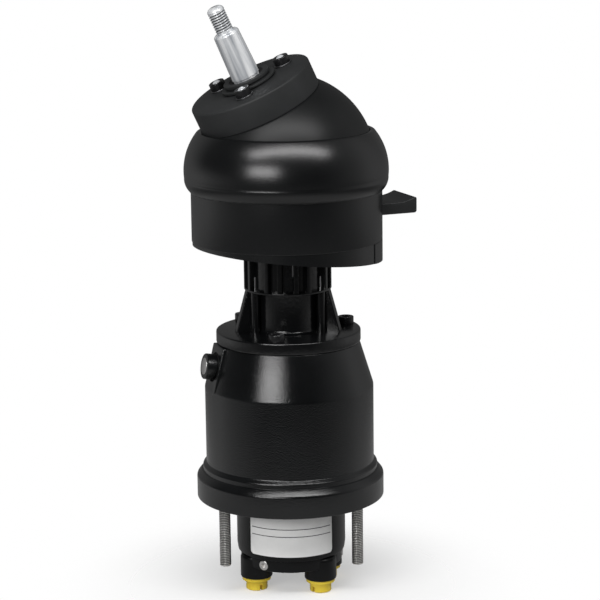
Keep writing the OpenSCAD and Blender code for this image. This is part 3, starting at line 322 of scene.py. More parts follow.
def rampNode(tree, source, low, high, stops=(0.35, 0.65)):
    ramp = tree.nodes.new("ShaderNodeValToRGB")
    for k, colour in enumerate((low, high)):
        ramp.color_ramp.elements[k].position = stops[k]
        ramp.color_ramp.elements[k].color = (*colour, 1)
    tree.links.new(source, ramp.inputs["Fac"])
    return ramp.outputs["Color"]


def bumpNode(tree, shader, source, strength, distance):
    bump = tree.nodes.new("ShaderNodeBump")
    bump.inputs["Strength"].default_value = strength
    bump.inputs["Distance"].default_value = distance
    tree.links.new(source, bump.inputs["Height"])
    tree.links.new(bump.outputs["Normal"], shader.inputs["Normal"])


def grained(name, dark, light, rough, grain, bump, distance, metal=0.0, specular=0.5, cloud=35.0,
            stretch=None, turn=None):
    # colour clouds, a rough range and a fine grain, the base of all finishes but the plate's
    mean = tuple((a + b) / 2 for a, b in zip(dark, light))
    made, tree, shader, coords = newMaterial(name, mean, rough[0], metal, specular)
    clouds = noiseNode(tree, coords, cloud, 4.0, stretch, turn)
    tree.links.new(rampNode(tree, clouds, dark, light), shader.inputs["Base Color"])
    fine = noiseNode(tree, coords, grain, 2.0, stretch, turn)
    tree.links.new(mapRange(tree, fine, *rough), shader.inputs["Roughness"])
    bumpNode(tree, shader, fine, bump, distance)
    return made


def paintRootShade(made, dark, shadeShare):
    # painted shade: darkens the roots of a thread, where shade would fall, by the attribute that threadRod
    # leaves on its points
    tree = made.node_tree
    base = tree.nodes["Principled BSDF"].inputs["Base Color"]
    root = tree.nodes.new("ShaderNodeAttribute")
    root.attribute_name = "root"
    depth = mapRange(tree, root.outputs["Fac"], 0.0, shadeShare)
    tree.links.new(mixNode(tree, depth, base.links[0].from_socket, (*dark, 1), "RGBA"), base)


finishSpecs = {
    "housingPaint": {"dark": (0.0030, 0.0033, 0.0036), "light": (0.0046, 0.0050, 0.0054), "rough": (0.15, 0.21),
                     "grain": 1250, "bump": 0.22, "distance": 0.0005},
    "castPaint": {"dark": (0.0024, 0.0026, 0.0029), "light": (0.0042, 0.0045, 0.0049), "rough": (0.13, 0.22),
                  "grain": 480, "bump": 0.20, "distance": 0.0006},
    "blockPaint": {"dark": (0.0026, 0.0028, 0.0031), "light": (0.0042, 0.0045, 0.0049), "rough": (0.26, 0.36),
                   "grain": 700, "bump": 0.18, "distance": 0.0005, "specular": 0.22},
    "coverPlastic": {"dark": (0.0028, 0.0031, 0.0034), "light": (0.0040, 0.0043, 0.0046), "rough": (0.23, 0.29),
                     "grain": 1300, "bump": 0.14, "distance": 0.0004},
    "domePlastic": {"dark": (0.0040, 0.0044, 0.0047), "light": (0.0058, 0.0062, 0.0065), "rough": (0.36, 0.43),
                    "grain": 1700, "bump": 0.08, "distance": 0.0003, "specular": 0.26},
    "hubPlastic": {"dark": (0.0125, 0.0134, 0.0139), "light": (0.0185, 0.0194, 0.0200), "rough": (0.52, 0.66),
                   "grain": 2300, "bump": 0.22, "distance": 0.0004, "specular": 0.36},
    "leverPlastic": {"dark": (0.0130, 0.0138, 0.0142), "light": (0.0170, 0.0178, 0.0183), "rough": (0.40, 0.50),
                     "grain": 1900, "bump": 0.15, "distance": 0.0003},
    "blackSteel": {"dark": (0.0040, 0.0040, 0.0044), "light": (0.0110, 0.0110, 0.0118), "rough": (0.20, 0.32),
                   "grain": 900, "bump": 0.10, "distance": 0.0003, "specular": 0.45},
    "rubber": {"dark": (0.0050, 0.0050, 0.0052), "light": (0.0080, 0.0080, 0.0082), "rough": (0.60, 0.72),
               "grain": 1400, "bump": 0.18, "distance": 0.0004, "specular": 0.25},
    "steel": {"dark": (0.34, 0.34, 0.345), "light": (0.46, 0.46, 0.465), "rough": (0.26, 0.40),
              "grain": 900, "bump": 0.06, "distance": 0.0002, "metal": 1, "cloud": 90},
    "studSteel": {"dark": (0.62, 0.61, 0.59), "light": (0.80, 0.79, 0.77), "rough": (0.28, 0.42),
                  "grain": 800, "bump": 0.08, "distance": 0.0002, "metal": 1, "cloud": 120},
    "brightZinc": {"dark": (0.76, 0.78, 0.81), "light": (0.85, 0.86, 0.88), "rough": (0.12, 0.22),
                   "grain": 700, "bump": 0.03, "distance": 0.0002, "metal": 0.50, "cloud": 60},
    # the shaft's colour clouds are stretched along its axis into light and dark streaks, painted reflections of
    # the studio
    "shaftZincPaintedStreaks": {"dark": (0.40, 0.42, 0.45), "light": (0.97, 0.98, 0.99), "rough": (0.10, 0.22),
                  "grain": 420, "bump": 0.03, "distance": 0.0002, "metal": 0.36, "cloud": 230,
                  "stretch": (1.0, 1.0, 14.0), "turn": headFrame.to_euler()},
    "washerSteel": {"dark": (0.10, 0.10, 0.105), "light": (0.17, 0.17, 0.175), "rough": (0.34, 0.48),
                    "grain": 900, "bump": 0.06, "distance": 0.0002, "metal": 1, "cloud": 90},
    "plugSilver": {"dark": (0.52, 0.51, 0.50), "light": (0.68, 0.67, 0.66), "rough": (0.24, 0.38),
                   "grain": 1200, "bump": 0.12, "distance": 0.0003, "metal": 1, "cloud": 200},
    "bronze": {"dark": (0.44, 0.29, 0.11), "light": (0.60, 0.42, 0.19), "rough": (0.28, 0.42),
               "grain": 900, "bump": 0.08, "distance": 0.0002, "metal": 1, "cloud": 80},
    "yellowPlastic": {"dark": (0.77, 0.55, 0.034), "light": (0.87, 0.64, 0.058), "rough": (0.36, 0.48),
                      "grain": 1200, "bump": 0.10, "distance": 0.0003, "specular": 0.4, "cloud": 90},
    "whitePlastic": {"dark": (0.78, 0.78, 0.77), "light": (0.84, 0.84, 0.83), "rough": (0.40, 0.50),
                     "grain": 1500, "bump": 0.05, "distance": 0.0002, "specular": 0.4},
}
finishes = {name: grained(name, **spec) for name, spec in finishSpecs.items()}
yellowGlow = 0.08
yellowShader = finishes["yellowPlastic"].node_tree.nodes["Principled BSDF"]
yellowShader.inputs["Subsurface Weight"].default_value = yellowGlow
# painted shade in the thread roots of the shaft and the studs
threadRootShade = {"shaftZincPaintedStreaks": {"dark": (0.020, 0.021, 0.023), "shadeShare": 0.95},
               "studSteel": {"dark": (0.010, 0.010, 0.010), "shadeShare": 0.97}}
for name, spec in threadRootShade.items():
    paintRootShade(finishes[name], **spec)
print("finishes made:", len(finishes))

# pump housing and filler

housing = {"steps": 160, "flangeR": 66.2, "flangeSide": 15.5, "slopeTop": 19.7, "beadR": 61.8, "beadStep": 0.8,
           "beadTop": 25.4, "beadSlope": 2.3, "wallR": 59.4, "shoulderZ": 79.8, "shoulderRound": 1.0,
           "top": 111.3, "topR": 49.7, "recessR": 47.0, "recessTop": 8.0, "ledgeR": 38.5, "ledgeTop": 17.6,
           "cavityR": 54.4, "cavityTopR": 48.27, "cavityShoulder": 80.6, "plateZ": 100.0,
           "bossR": 19.0, "bossZ": 91.0, "sealR": 13.02, "sealZ": 104.0, "bushR": 10.02}


def housingShell(h):
    return lathe([
        (h["recessR"], 0, 0.5), (h["flangeR"], 0, 0.7), (h["flangeR"], h["flangeSide"], 1.1),
        (h["beadR"] + h["beadStep"], h["slopeTop"], 0.6), (h["beadR"], h["slopeTop"], 0.3),
        (h["beadR"], h["beadTop"] - h["beadSlope"], 0.7), (h["wallR"], h["beadTop"], 0.5),
        (h["wallR"], h["shoulderZ"], h["shoulderRound"]), (h["topR"], h["top"], 0.7),
        (h["sealR"], h["top"], 0.3), (h["sealR"], h["sealZ"]), (h["bushR"], h["sealZ"]),
        (h["bushR"], h["bossZ"]), (h["bossR"], h["bossZ"], 0.8), (h["bossR"], h["plateZ"], 1.5),
        (h["cavityTopR"], h["plateZ"], 1.5), (h["cavityR"], h["cavityShoulder"]),
        (h["cavityR"], h["ledgeTop"], 1.5), (h["ledgeR"], h["ledgeTop"], 0.5),
        (h["ledgeR"], h["recessTop"]), (h["recessR"], h["recessTop"])], h["steps"], 6)


filler = {"turn": -72, "z": 96.0, "face": 55.0, "slope": 13, "lean": 10, "seat": 52.94, "width": 24.0,
          "high": 111.0, "topRound": 0.8, "below": 9.5, "tailR": 19.68, "edge": 0.9, "headR": 9.0, "head": 7.4,
          "sealT": 1.8, "socket": 4.6, "socketDepth": 0.8, "ridges": 44, "ridge": 0.18, "seatGap": 1.4,
          "seatDepth": 30, "holeDepth": 40, "threadR": 6.0, "pitch": 1.5, "depth": 0.8, "shank": 11,
          "inHead": 0.4, "tip": 0.2, "foot": 0.6}
cavity = {"low": 17.7, "radius": 54.3, "shoulder": 80.5, "topR": 48.2, "top": 99.9}
atFiller = turnTo(filler["turn"], filler["seat"], filler["z"]) @ turnBy(90 - filler["lean"], "X")


def fillerBoss(f, c):
    # the lug on the cone: a leaning flat face, full width at the top and rounded to a tail below,
    # cut off at the housing's cavity
    half, low = f["width"] / 2, f["z"] - f["headR"] - f["below"]
    sides = [k / 10 * half for k in range(-10, 11)]
    tail = [(u, max(low, f["z"] - math.sqrt(f["tailR"] ** 2 - u ** 2))) for u in sides]
    bm = slab([(half, f["high"], f["topRound"]), (-half, f["high"], f["topRound"])] + tail,
              -f["face"], -f["face"] / 2, 3)
    for v in bm.verts:
        if v.co.y < -f["face"] + near["sliver"]:
            v.co.y += (v.co.z - f["z"]) * math.tan(math.radians(f["slope"]))
    bmesh.ops.recalc_face_normals(bm, faces=bm.faces[:])
    front = max(bm.faces, key=lambda face: -face.calc_center_median().y)
    bevel(bm, front.edges[:], f["edge"], edgeSegments)
    inside = lathe([(0, c["low"]), (c["radius"], c["low"]), (c["radius"], c["shoulder"]),
                    (c["topR"], c["top"]), (0, c["top"])], 64)
    return combine(moved(bm, turnTo(f["turn"])), [("DIFFERENCE", inside)])


def housingBody(h, f, c):
    seat = moved(cylinder(f["headR"] + f["seatGap"], f["seatDepth"], 48), shift(z=f["seatDepth"] / 2))
    hole = cylinder(f["threadR"], f["holeDepth"])
    return combine(housingShell(h), [("UNION", fillerBoss(f, c)), ("DIFFERENCE", moved(seat, atFiller)),
                                     ("DIFFERENCE", moved(hole, atFiller))])


def fillerPlug(f):
    head = socketHead(f["headR"], f["head"], f["socket"], f["socketDepth"], f["ridges"], f["ridge"])
    shank = threadRod(f["threadR"], f["pitch"], f["depth"], -f["shank"], f["sealT"] + f["inHead"],
                      f["tip"], f["foot"])
    return addTo(moved(head, shift(z=f["sealT"])), shank)


finishPiece("pumpHousing", housingBody(housing, filler, cavity), finishes["housingPaint"], "pump_body",
            ["pump_housing"])
finishPiece("fillerPlug", fillerPlug(filler), finishes["coverPlastic"], "pump_body",
            ["filler_plug"], atFiller)
disc = {"radius": 5.9, "low": -0.6, "high": 0.25, "round": 0.2}
plugFace = barrel(disc["radius"], disc["low"], disc["high"], 48, (0, disc["round"]), 3)
finishPiece("fillerDisc", plugFace, finishes["plugSilver"], "pump_body", [],
            atFiller @ shift(z=filler["sealT"] + filler["head"]))
print("housing and filler made")

# studs under the flange

studs = {"circle": 53.7, "turns": (180, 300, 60), "radius": 4.0, "root": 3.3, "drop": 45.0, "pitch": 1.25,
         "depth": 0.72, "foot": 0.2, "coreLow": -1, "top": 13.0, "topRound": 0.4, "chamfer": 0.7}


def stud(s):
    rod = threadRod(s["radius"], s["pitch"], s["depth"], -s["drop"], 0.0, 0.0, s["foot"], 36)
    for v in rod.verts:
        inset = s["chamfer"] - (v.co.z + s["drop"])
        if inset > 0 and reachOf(v) > 1:
            squeeze(v, min(1.0, (s["radius"] - inset) / reachOf(v)))
    return addTo(rod, barrel(s["root"], s["coreLow"], s["top"], 36, (0, s["topRound"])))


studSet = addRing(bmesh.new(), lambda: stud(studs), studs["turns"], studs["circle"])
finishPiece("mountingStuds", studSet, finishes["studSteel"], "pump_body", ["mounting_studs"])

# pump block, end cap and plugs

block = {"radius": 38.6, "taper": 4.5, "lowR": 37.8, "low": -40.0, "flangeR": 46.8, "flangeT": 8.0,
         "bossR": 38.4, "bossTop": 26.0, "bore": 23.0, "holeTurns": (-33, 16, 81.5, 171.5, 261.5),
         "holeCircle": 42.2, "holeR": 4.25, "holeDepth": 4.4}


def pumpBlock(b):
    body = lathe([(b["bore"], b["low"]), (b["lowR"], b["low"], 0.5), (b["radius"], b["low"] + b["taper"], 2.0),
                  (b["radius"], 0, 0.8), (b["flangeR"], 0, 0.5), (b["flangeR"], b["flangeT"], 0.5),
                  (b["bossR"], b["flangeT"]), (b["bossR"], b["bossTop"], 0.8), (b["bore"], b["bossTop"])], 128)
    holes = addRing(bmesh.new(), lambda: cylinder(b["holeR"], b["holeDepth"] * 2), b["holeTurns"],
                    b["holeCircle"])
    return combine(body, [("DIFFERENCE", holes)])


finishPiece("pumpBlock", pumpBlock(block), finishes["blockPaint"], "pump_body",
            ["pump_block"])

cap = {"radius": 36.0, "top": -40.0, "low": -48.8, "rounds": (1.4, 0.5), "bossR": 11.3, "bossLow": -57.6,
       "bossTop": -40.5, "bossRounds": (0.9, 3.0), "circle": 27.8, "turns": (-64, 47, 116, 227), "port": 5.6,
       "portDepth": 12, "screwTurns": (-8.5, 171.5, 261.5), "screwCircle": 30.2, "screwR": 4.35,
       "screwDepth": 4.6, "plugTurns": (-33, 92, 205), "plugR": 3.62, "plugZ": -44.4, "plugOut": 0.6,
       "plugDepth": 7}


def endCap(c):
    body = barrel(c["radius"], c["low"], c["top"], 128, c["rounds"])
    bosses = []
    for turn in c["turns"]:
        boss = barrel(c["bossR"], c["bossLow"], c["bossTop"], 64, c["bossRounds"])
        bosses.append(("UNION", moved(boss, turnTo(turn, c["circle"]))))
    cuts = bmesh.new()
    addRing(cuts, lambda: cylinder(c["port"], c["portDepth"] * 2, 40), c["turns"], c["circle"], c["bossLow"])
    addRing(cuts, lambda: cylinder(c["screwR"], c["screwDepth"] * 2), c["screwTurns"], c["screwCircle"],
            c["low"])
    addRing(cuts, lambda: cylinder(c["plugR"], c["plugDepth"] * 2), c["plugTurns"],
            c["radius"] + c["plugOut"], c["plugZ"], standOnY)
    return combine(body, bosses + [("DIFFERENCE", cuts)])


finishPiece("endCap", endCap(cap), finishes["blockPaint"], "pump_body", ["end_cap"])

portPlug = {"flangeR": 10.2, "flangeT": 2.4, "knobR": 7.6, "knob": 7.2, "knobIn": 1.6, "knobRise": 0.5,
            "slot": 2.0, "slotDepth": 4.4, "slotLong": 40, "stem": 5.6, "stemDraft": 0.3, "stemTop": 9}


def shippingPlug(p):
    low = -p["flangeT"] - p["knob"]
    bm = lathe([(0, low), (p["knobR"] - p["knobIn"], low, 0.3), (p["knobR"], low + p["knobRise"], 0.5),
                (p["knobR"], -p["flangeT"], 0.4), (p["flangeR"], -p["flangeT"], 0.5), (p["flangeR"], 0, 0.5),
                (p["stem"], 0, 0.2), (p["stem"] - p["stemDraft"], p["stemTop"], 0.5), (0, p["stemTop"])], 64, 3)
    slot = moved(brick(p["slotLong"], p["slot"], p["slotDepth"] * 2), shift(z=low))
    return combine(bm, [("DIFFERENCE", slot)])


plugNames = (("portPlugLeft", "port_plug_left"), ("portPlugRight", "port_plug_right"),
             ("portPlugRear", "port_plug_rear"))
for (name, node), turn in zip(plugNames, cap["turns"]):
    finishPiece(name, shippingPlug(portPlug), finishes["yellowPlastic"], "pump_body",
                [node], turnTo(turn, cap["circle"], cap["bossLow"]))

sidePlug = {"radius": 3.6, "reach": 29.6, "length": 7.2, "rounds": (0.4, 0.7), "socket": 1.8,
            "socketDepth": 2.5}


def sidePlugHead(s):
    key = moved(cylinder(s["socket"], s["socketDepth"] * 2, 6), shift(z=s["length"]))
    return combine(barrel(s["radius"], 0, s["length"], 40, s["rounds"], 3), [("DIFFERENCE", key)])


sidePlugs = addRing(bmesh.new(), lambda: sidePlugHead(sidePlug), cap["plugTurns"], sidePlug["reach"],
                    cap["plugZ"], standOnY)
finishPiece("sidePlugs", sidePlugs, finishes["plugSilver"], "pump_body", ["side_plugs"])
print("lower body made")

# rating plate, left bare apart from ruled lines

plate = {"inner": 38.62, "thick": 0.4, "half": 47, "low": -36.2, "high": -3.0, "lowRound": 2.6,
         "highRound": 1.5, "steps": 64, "lines": (-16.1, -21.4), "lineHalf": 0.28, "lineEnd": 27.4,
         "colour": (0.87, 0.87, 0.86), "paper": ((0.93, 0.93, 0.92), (0.97, 0.97, 0.96)),
         "ink": (0.03, 0.03, 0.035), "rough": 0.34, "specular": 0.45, "cloud": 140, "grain": 1600,
         "bump": 0.05, "distance": 0.0002}


def plateMaterial(p):
    # the rules stop short of the plate's sides
    made, tree, shader, coords = newMaterial("plateWhite", p["colour"], p["rough"], specular=p["specular"])
    x, _, z = splitNode(tree, coords)
    rules = [mathNode(tree, "COMPARE", z, line * mm, p["lineHalf"] * mm) for line in p["lines"]]
    between = mathNode(tree, "COMPARE", x, 0.0, p["lineEnd"] * mm)
    inked = mathNode(tree, "MULTIPLY", mathNode(tree, "MAXIMUM", *rules), between)
    paper = rampNode(tree, noiseNode(tree, coords, p["cloud"], 3.0), *p["paper"])
    tree.links.new(mixNode(tree, inked, paper, (*p["ink"], 1), "RGBA"), shader.inputs["Base Color"])
    bumpNode(tree, shader, noiseNode(tree, coords, p["grain"]), p["bump"], p["distance"])
    return made


def ratingPlate(p):
    # a flat outline with rounded corners, cut into strips and wrapped round the block
    span = math.radians(p["half"]) * p["inner"]
    bm = slab([(-span, p["low"], p["lowRound"]), (span, p["low"], p["lowRound"]),
               (span, p["high"], p["highRound"]), (-span, p["high"], p["highRound"])], 0, p["thick"], 6)
    for k in range(1, p["steps"]):
        x = -span + 2 * span * k / p["steps"]
        bmesh.ops.bisect_plane(bm, geom=bm.verts[:] + bm.edges[:] + bm.faces[:], dist=near["cut"],
                               plane_co=(x, 0, 0), plane_no=(1, 0, 0))
    for v in bm.verts:
        turn, reach = v.co.x / p["inner"], p["inner"] + v.co.y
        v.co = Vector((reach * math.sin(turn), -reach * math.cos(turn), v.co.z))
    bmesh.ops.recalc_face_normals(bm, faces=bm.faces[:])
    return bm


finishPiece("ratingPlate", ratingPlate(plate), plateMaterial(plate), "pump_body",
            ["rating_label"])

# adapter casting and its bolts

adapter = {"low": 111.3, "plateTop": 119.6, "plateR": 50.7, "tubeR": 22.0, "top": 150.1, "ringT": 1.8,
           "ringR": 30.6, "bore": 14.0, "registerR": 20.4, "registerTop": 154.1, "gussetT": 7.0,
           "gussetFoot": 38.0, "gussetIn": 3, "gussetToe": 0.4, "gussetEdge": 0.9, "gussetHead": 0.6,
           "gussetTurns": (-75, 75, 165, -165), "sunk": 1, "columnTurns": (-61, 61, 151, -151),
           "columnCircle": 26.1, "columnR": 3.0, "columnHead": 0.5, "screwR": 2.2, "sinkR": 3.8, "sink": 4.2,
           "through": 1}
bolt = {"turns": (-11, 109, 229), "circle": 43.0, "headR": 5.6, "head": 5.2, "socket": 2.9, "socketDepth": 3.0,
        "shank": 16.8, "shankR": 3.0, "shankRound": 0.5, "inHead": 0.05}


def adapterCasting(a):
    ringLow, foot = a["top"] - a["ringT"], a["plateTop"] - a["sunk"]
    shell = lathe([(a["bore"], a["low"]), (a["plateR"], a["low"], 1.0), (a["plateR"], a["plateTop"], 1.1),
                   (a["tubeR"], a["plateTop"], 2.6), (a["tubeR"], ringLow, 2.0), (a["ringR"], ringLow, 0.8),
                   (a["ringR"], a["top"], 0.5), (a["registerR"], a["top"]),
                   (a["registerR"], a["registerTop"], 0.5), (a["bore"], a["registerTop"])], 144, 5)
    webs = []
    for turn in a["gussetTurns"]:
        inner, head = -a["tubeR"] + a["gussetIn"], ringLow + a["gussetHead"]
        web = slab([(inner, foot), (-a["gussetFoot"], foot),
                    (-a["gussetFoot"], a["plateTop"] + a["gussetToe"], 0.3),
                    (-a["ringR"] + a["gussetHead"], head), (inner, head)],
                   -a["gussetT"] / 2, a["gussetT"] / 2, 3, a["gussetEdge"])
        webs.append(("UNION", moved(web, turnTo(turn) @ turnBy(90))))
    cuts = bmesh.new()
    under, sinkTop, over = a["low"] - a["through"], a["low"] + a["sink"], a["top"] + a["through"]
    for turn in a["columnTurns"]:
        column = barrel(a["columnR"], foot, ringLow + a["columnHead"], 32)
        webs.append(("UNION", moved(column, turnTo(turn, a["columnCircle"]))))
        hole = lathe([(0, under), (a["sinkR"], under), (a["sinkR"], sinkTop), (a["screwR"], sinkTop),
                      (a["screwR"], over), (0, over)], 32)
        addTo(cuts, hole, turnTo(turn, a["columnCircle"]))
    return combine(shell, webs + [("DIFFERENCE", cuts)])


def capScrew(b):
    head = socketHead(b["headR"], b["head"], b["socket"], b["socketDepth"])
    return addTo(head, barrel(b["shankR"], -b["shank"], b["inHead"], 24, (b["shankRound"], 0)))


finishPiece("adapterFlange", adapterCasting(adapter), finishes["castPaint"], "pump_body",
            ["adapter_flange"])
bolts = addRing(bmesh.new(), lambda: capScrew(bolt), bolt["turns"], bolt["circle"], adapter["plateTop"])
finishPiece("adapterBolts", bolts, finishes["blackSteel"], "pump_body", ["adapter_bolts"])
print("adapter made")

# ribbed neck

neck = {"low": 150.1, "high": 182.0, "outer": 30.9, "core": 26.5, "bore": 20.5, "ribW": 3.2, "ribIn": 2,
        "ribTurns": (-29, -11, 11, 29), "round": 0.5, "underZ": 174.35, "underLean": 5.8}


def ribbedNeck(n):
    core = barrel(n["core"], n["low"], n["high"], 96, bore=n["bore"])
    half = n["ribW"] / 2
    crown = math.sqrt(n["outer"] ** 2 - half ** 2)
    ribs = []
    for quarter in range(4):
        for turn in n["ribTurns"]:
            rib = slab([(-half, n["low"]), (half, n["low"]), (half, n["high"]), (-half, n["high"])],
                       -crown, -n["core"] + n["ribIn"])
            sides = [e for e in rib.edges if all(abs(v.co.y + crown) < near["weld"] for v in e.verts)
                     and abs(e.verts[0].co.z - e.verts[1].co.z) > 1]
            bevel(rib, sides, n["round"], edgeSegments)
            ribs.append(("UNION", moved(rib, turnTo(quarter * 90 + turn))))
    bm = combine(core, ribs)
    plane = tiltFrame @ turnBy(n["underLean"], "Y")
    cut = bmesh.ops.bisect_plane(bm, geom=bm.verts[:] + bm.edges[:] + bm.faces[:], dist=near["cut"],
                                 plane_co=(0, 0, n["underZ"]), plane_no=plane.to_3x3() @ Vector((0, 0, 1)),
                                 clear_outer=True)
    edges = [g for g in cut["geom_cut"] if isinstance(g, bmesh.types.BMEdge)]
    bmesh.ops.triangle_fill(bm, use_beauty=True, edges=edges)
    bmesh.ops.recalc_face_normals(bm, faces=bm.faces[:])
    return bm


finishPiece("neckTube", ribbedNeck(neck), finishes["castPaint"], "pump_body",
            ["neck_tube"])

# bulged cover

cover = {"baseZ": 183.4, "skirtR": 66.4, "thick": 2.5, "lowX": 58.8, "lowZ": 227.0, "lowRound": 12.0,
         "lowEnd": -0.02, "lowSteps": 10, "highX": 28.0, "highZ": 232.0, "highRound": 43.0, "highSteps": 22,
         "rimZ": 259.4, "rimT": 3.0, "rimRound": 0.8, "domeR": 62.6, "pivotZ": 236.4, "steps": 160,
         "slotHalf": 19.2, "slotLow": 194.6, "slotHigh": 210.1, "slotIn": 57.9, "slotDeep": 20,
         "slotRound": 1.2, "screwTurns": (150, 200, 250), "screwZ": 186.9, "screwHole": 1.75, "screwDeep": 20}


def arcPoints(cx, cz, radius, start, end, count):
    return [(cx + radius * math.cos(a), cz + radius * math.sin(a))
            for a in (start + (end - start) * k / count for k in range(count + 1))]


def coverShell(c):
    def wall(inset, top):
        skirt = c["skirtR"] - inset
        lowR, highR = c["lowRound"] - inset, c["highRound"] - inset
        start = -math.acos((skirt - c["lowX"]) / lowR)
        highStart = math.asin((c["lowZ"] - c["highZ"]) / highR)
        highEnd = math.asin((top - c["highZ"]) / highR)
        return (arcPoints(c["lowX"], c["lowZ"], lowR, start, c["lowEnd"], c["lowSteps"])
                + arcPoints(c["highX"], c["highZ"], highR, highStart, highEnd, c["highSteps"]))

    def lipAt(z):
        return math.sqrt(c["domeR"] ** 2 - (z - c["pivotZ"]) ** 2)

    under = c["rimZ"] - c["rimT"]
    outer = wall(0, c["rimZ"])
    outer[-1] = (*outer[-1], c["rimRound"])
    inner = wall(c["thick"], under)
    points = ([(c["skirtR"] - c["thick"], c["baseZ"], 0.3), (c["skirtR"], c["baseZ"], 0.5)] + outer
              + [(lipAt(c["rimZ"]), c["rimZ"], 0.4), (lipAt(under), under)])
    points += [p for p in reversed(inner) if p[0] > lipAt(under) + 0.2]
    bm = lathe(points, c["steps"])
    slot = brick(c["slotDeep"], c["slotHalf"] * 2, c["slotHigh"] - c["slotLow"])
    along = [e for e in slot.edges if abs(e.verts[0].co.x - e.verts[1].co.x) > 1]
    bevel(slot, along, c["slotRound"], edgeSegments)
    moved(slot, tiltFrame @ shift(c["slotIn"] + c["slotDeep"] / 2, 0, (c["slotLow"] + c["slotHigh"]) / 2))
    cuts = [("DIFFERENCE", slot)]
    for turn in c["screwTurns"]:
        hole = cylinder(c["screwHole"], c["screwDeep"], 24)
        cuts.append(("DIFFERENCE", moved(hole, turnTo(turn, c["skirtR"], c["screwZ"]) @ standOnY)))
    return combine(bm, cuts)


finishPiece("bezelCover", coverShell(cover), finishes["coverPlastic"], "pump_body",
            ["bezel_cover"])
print("neck and cover made")

# tilting head

dome = {"radius": 62.1, "thick": 2.5, "drop": 10.8, "top": 43.6, "topT": 2.2, "topRound": 0.5, "hole": 37.7,
        "steps": 160}


def domeShell(d):
    inner, under = d["radius"] - d["thick"], d["top"] - d["topT"]
    outside = arcPoints(0, 0, d["radius"], -math.asin(d["drop"] / d["radius"]),
                        math.asin(d["top"] / d["radius"]), 40)
    inside = arcPoints(0, 0, inner, math.asin(under / inner), -math.asin(d["drop"] / inner), 32)
    outside[-1] = (*outside[-1], d["topRound"])
    return lathe(outside + [(d["hole"], d["top"]), (d["hole"], under)] + inside, d["steps"], 3)


finishPiece("domeCover", domeShell(dome), finishes["domePlastic"], "tilt_head",
            ["dome_cover"], headFrame)

hub = {"low": 43.6, "face": 62.2, "radius": 43.6, "round": 1.6, "bearingR": 21.02, "bearingTop": 59.0,
       "hole": 14.0, "screws": 3, "screwCircle": 27.8, "screwR": 3.25, "screwDeep": 60, "steps": 144}
hubSpots = [turnBy(k * 360 / hub["screws"]) @ shift(hub["screwCircle"], 0, hub["face"])
            for k in range(hub["screws"])]


def hubDisc(h):
    bm = lathe([(h["bearingR"], h["low"]), (h["radius"], h["low"], 0.5), (h["radius"], h["face"], h["round"]),
                (h["hole"], h["face"], 0.4), (h["hole"], h["bearingTop"]), (h["bearingR"], h["bearingTop"])],
               h["steps"], 5)
    cuts = bmesh.new()
    for spot in hubSpots:
        addTo(cuts, cylinder(h["screwR"], h["screwDeep"]), spot)
    return combine(bm, [("DIFFERENCE", cuts)])


finishPiece("hubHousing", hubDisc(hub), finishes["hubPlastic"], "tilt_head",
            ["hub_housing"], headFrame)

hubScrew = {"headR": 5.6, "head": 5.0, "socket": 3.5, "socketDepth": 3.2, "shank": 28.6, "shankR": 3.0,
            "shankRound": 0.5, "inHead": 0.05}
washer = {"bore": 3.25, "radius": 6.25, "thick": 1.2, "rounds": (0.25, 0.35)}
paintedGlint = {"radius": 2.9, "low": -2.0, "high": 1.5, "shoulderR": 0.55, "shoulder": 0.75, "sunk": 0.5}
glintLift = washer["thick"] + hubScrew["head"] - paintedGlint["sunk"]


def glintDome(f):
    # a painted highlight: a bright rounded dome set in a hub screw's socket, in place of the lamp's glint off
    # the socket's walls
    return lathe([(0, f["low"]), (f["radius"], f["low"]), (f["radius"], 0.0, 0.3),
                  (f["radius"] * f["shoulderR"], f["high"] * f["shoulder"], 0.6), (0, f["high"])], 32, 3)


screws, washers, glints = bmesh.new(), bmesh.new(), bmesh.new()
for spot in hubSpots:
    addTo(screws, capScrew(hubScrew), spot @ shift(z=washer["thick"]))
    ring = barrel(washer["radius"], 0, washer["thick"], 48, washer["rounds"], 3, washer["bore"])
    addTo(washers, ring, spot)
    addTo(glints, glintDome(paintedGlint), spot @ shift(z=glintLift))
finishPiece("hubScrews", screws, finishes["blackSteel"], "tilt_head", ["hub_screws"], headFrame)
finishPiece("hubWashers", washers, finishes["washerSteel"], "tilt_head", ["hub_washers"],
            headFrame)
# bright domes in the hub screws' sockets, a painted highlight
finishPiece("hubSocketGlints", glints, finishes["brightZinc"], "tilt_head", [], headFrame)

retainer = {"lowR": 19.5, "highR": 16.75, "bore": 12.5, "foot": 59.6, "footR": 13.98, "face": 62.0,
            "step": 64.7, "top": 68.1, "groove": 1.7, "grooveT": 1.2}


def retainerRing(r):
    lowNeck, highNeck = r["lowR"] - r["groove"], r["highR"] - r["groove"]
    lowEdge, highEdge = r["face"] + r["grooveT"], r["step"] + r["grooveT"]
    return lathe([(r["bore"], r["foot"]), (r["footR"], r["foot"], 0.2), (r["footR"], r["face"]),
                  (lowNeck, r["face"]), (lowNeck, lowEdge), (r["lowR"], lowEdge, 0.15),
                  (r["lowR"], r["step"], 0.3), (highNeck, r["step"]), (highNeck, highEdge),
                  (r["highR"], highEdge, 0.15), (r["highR"], r["top"], 0.35), (r["bore"], r["top"], 0.4)],
                 96, 3)


finishPiece("sealRetainer", retainerRing(retainer), finishes["hubPlastic"], "tilt_head",
            ["seal_retainer"], headFrame)
print("tilting head made")

# wheel shaft with its threaded end

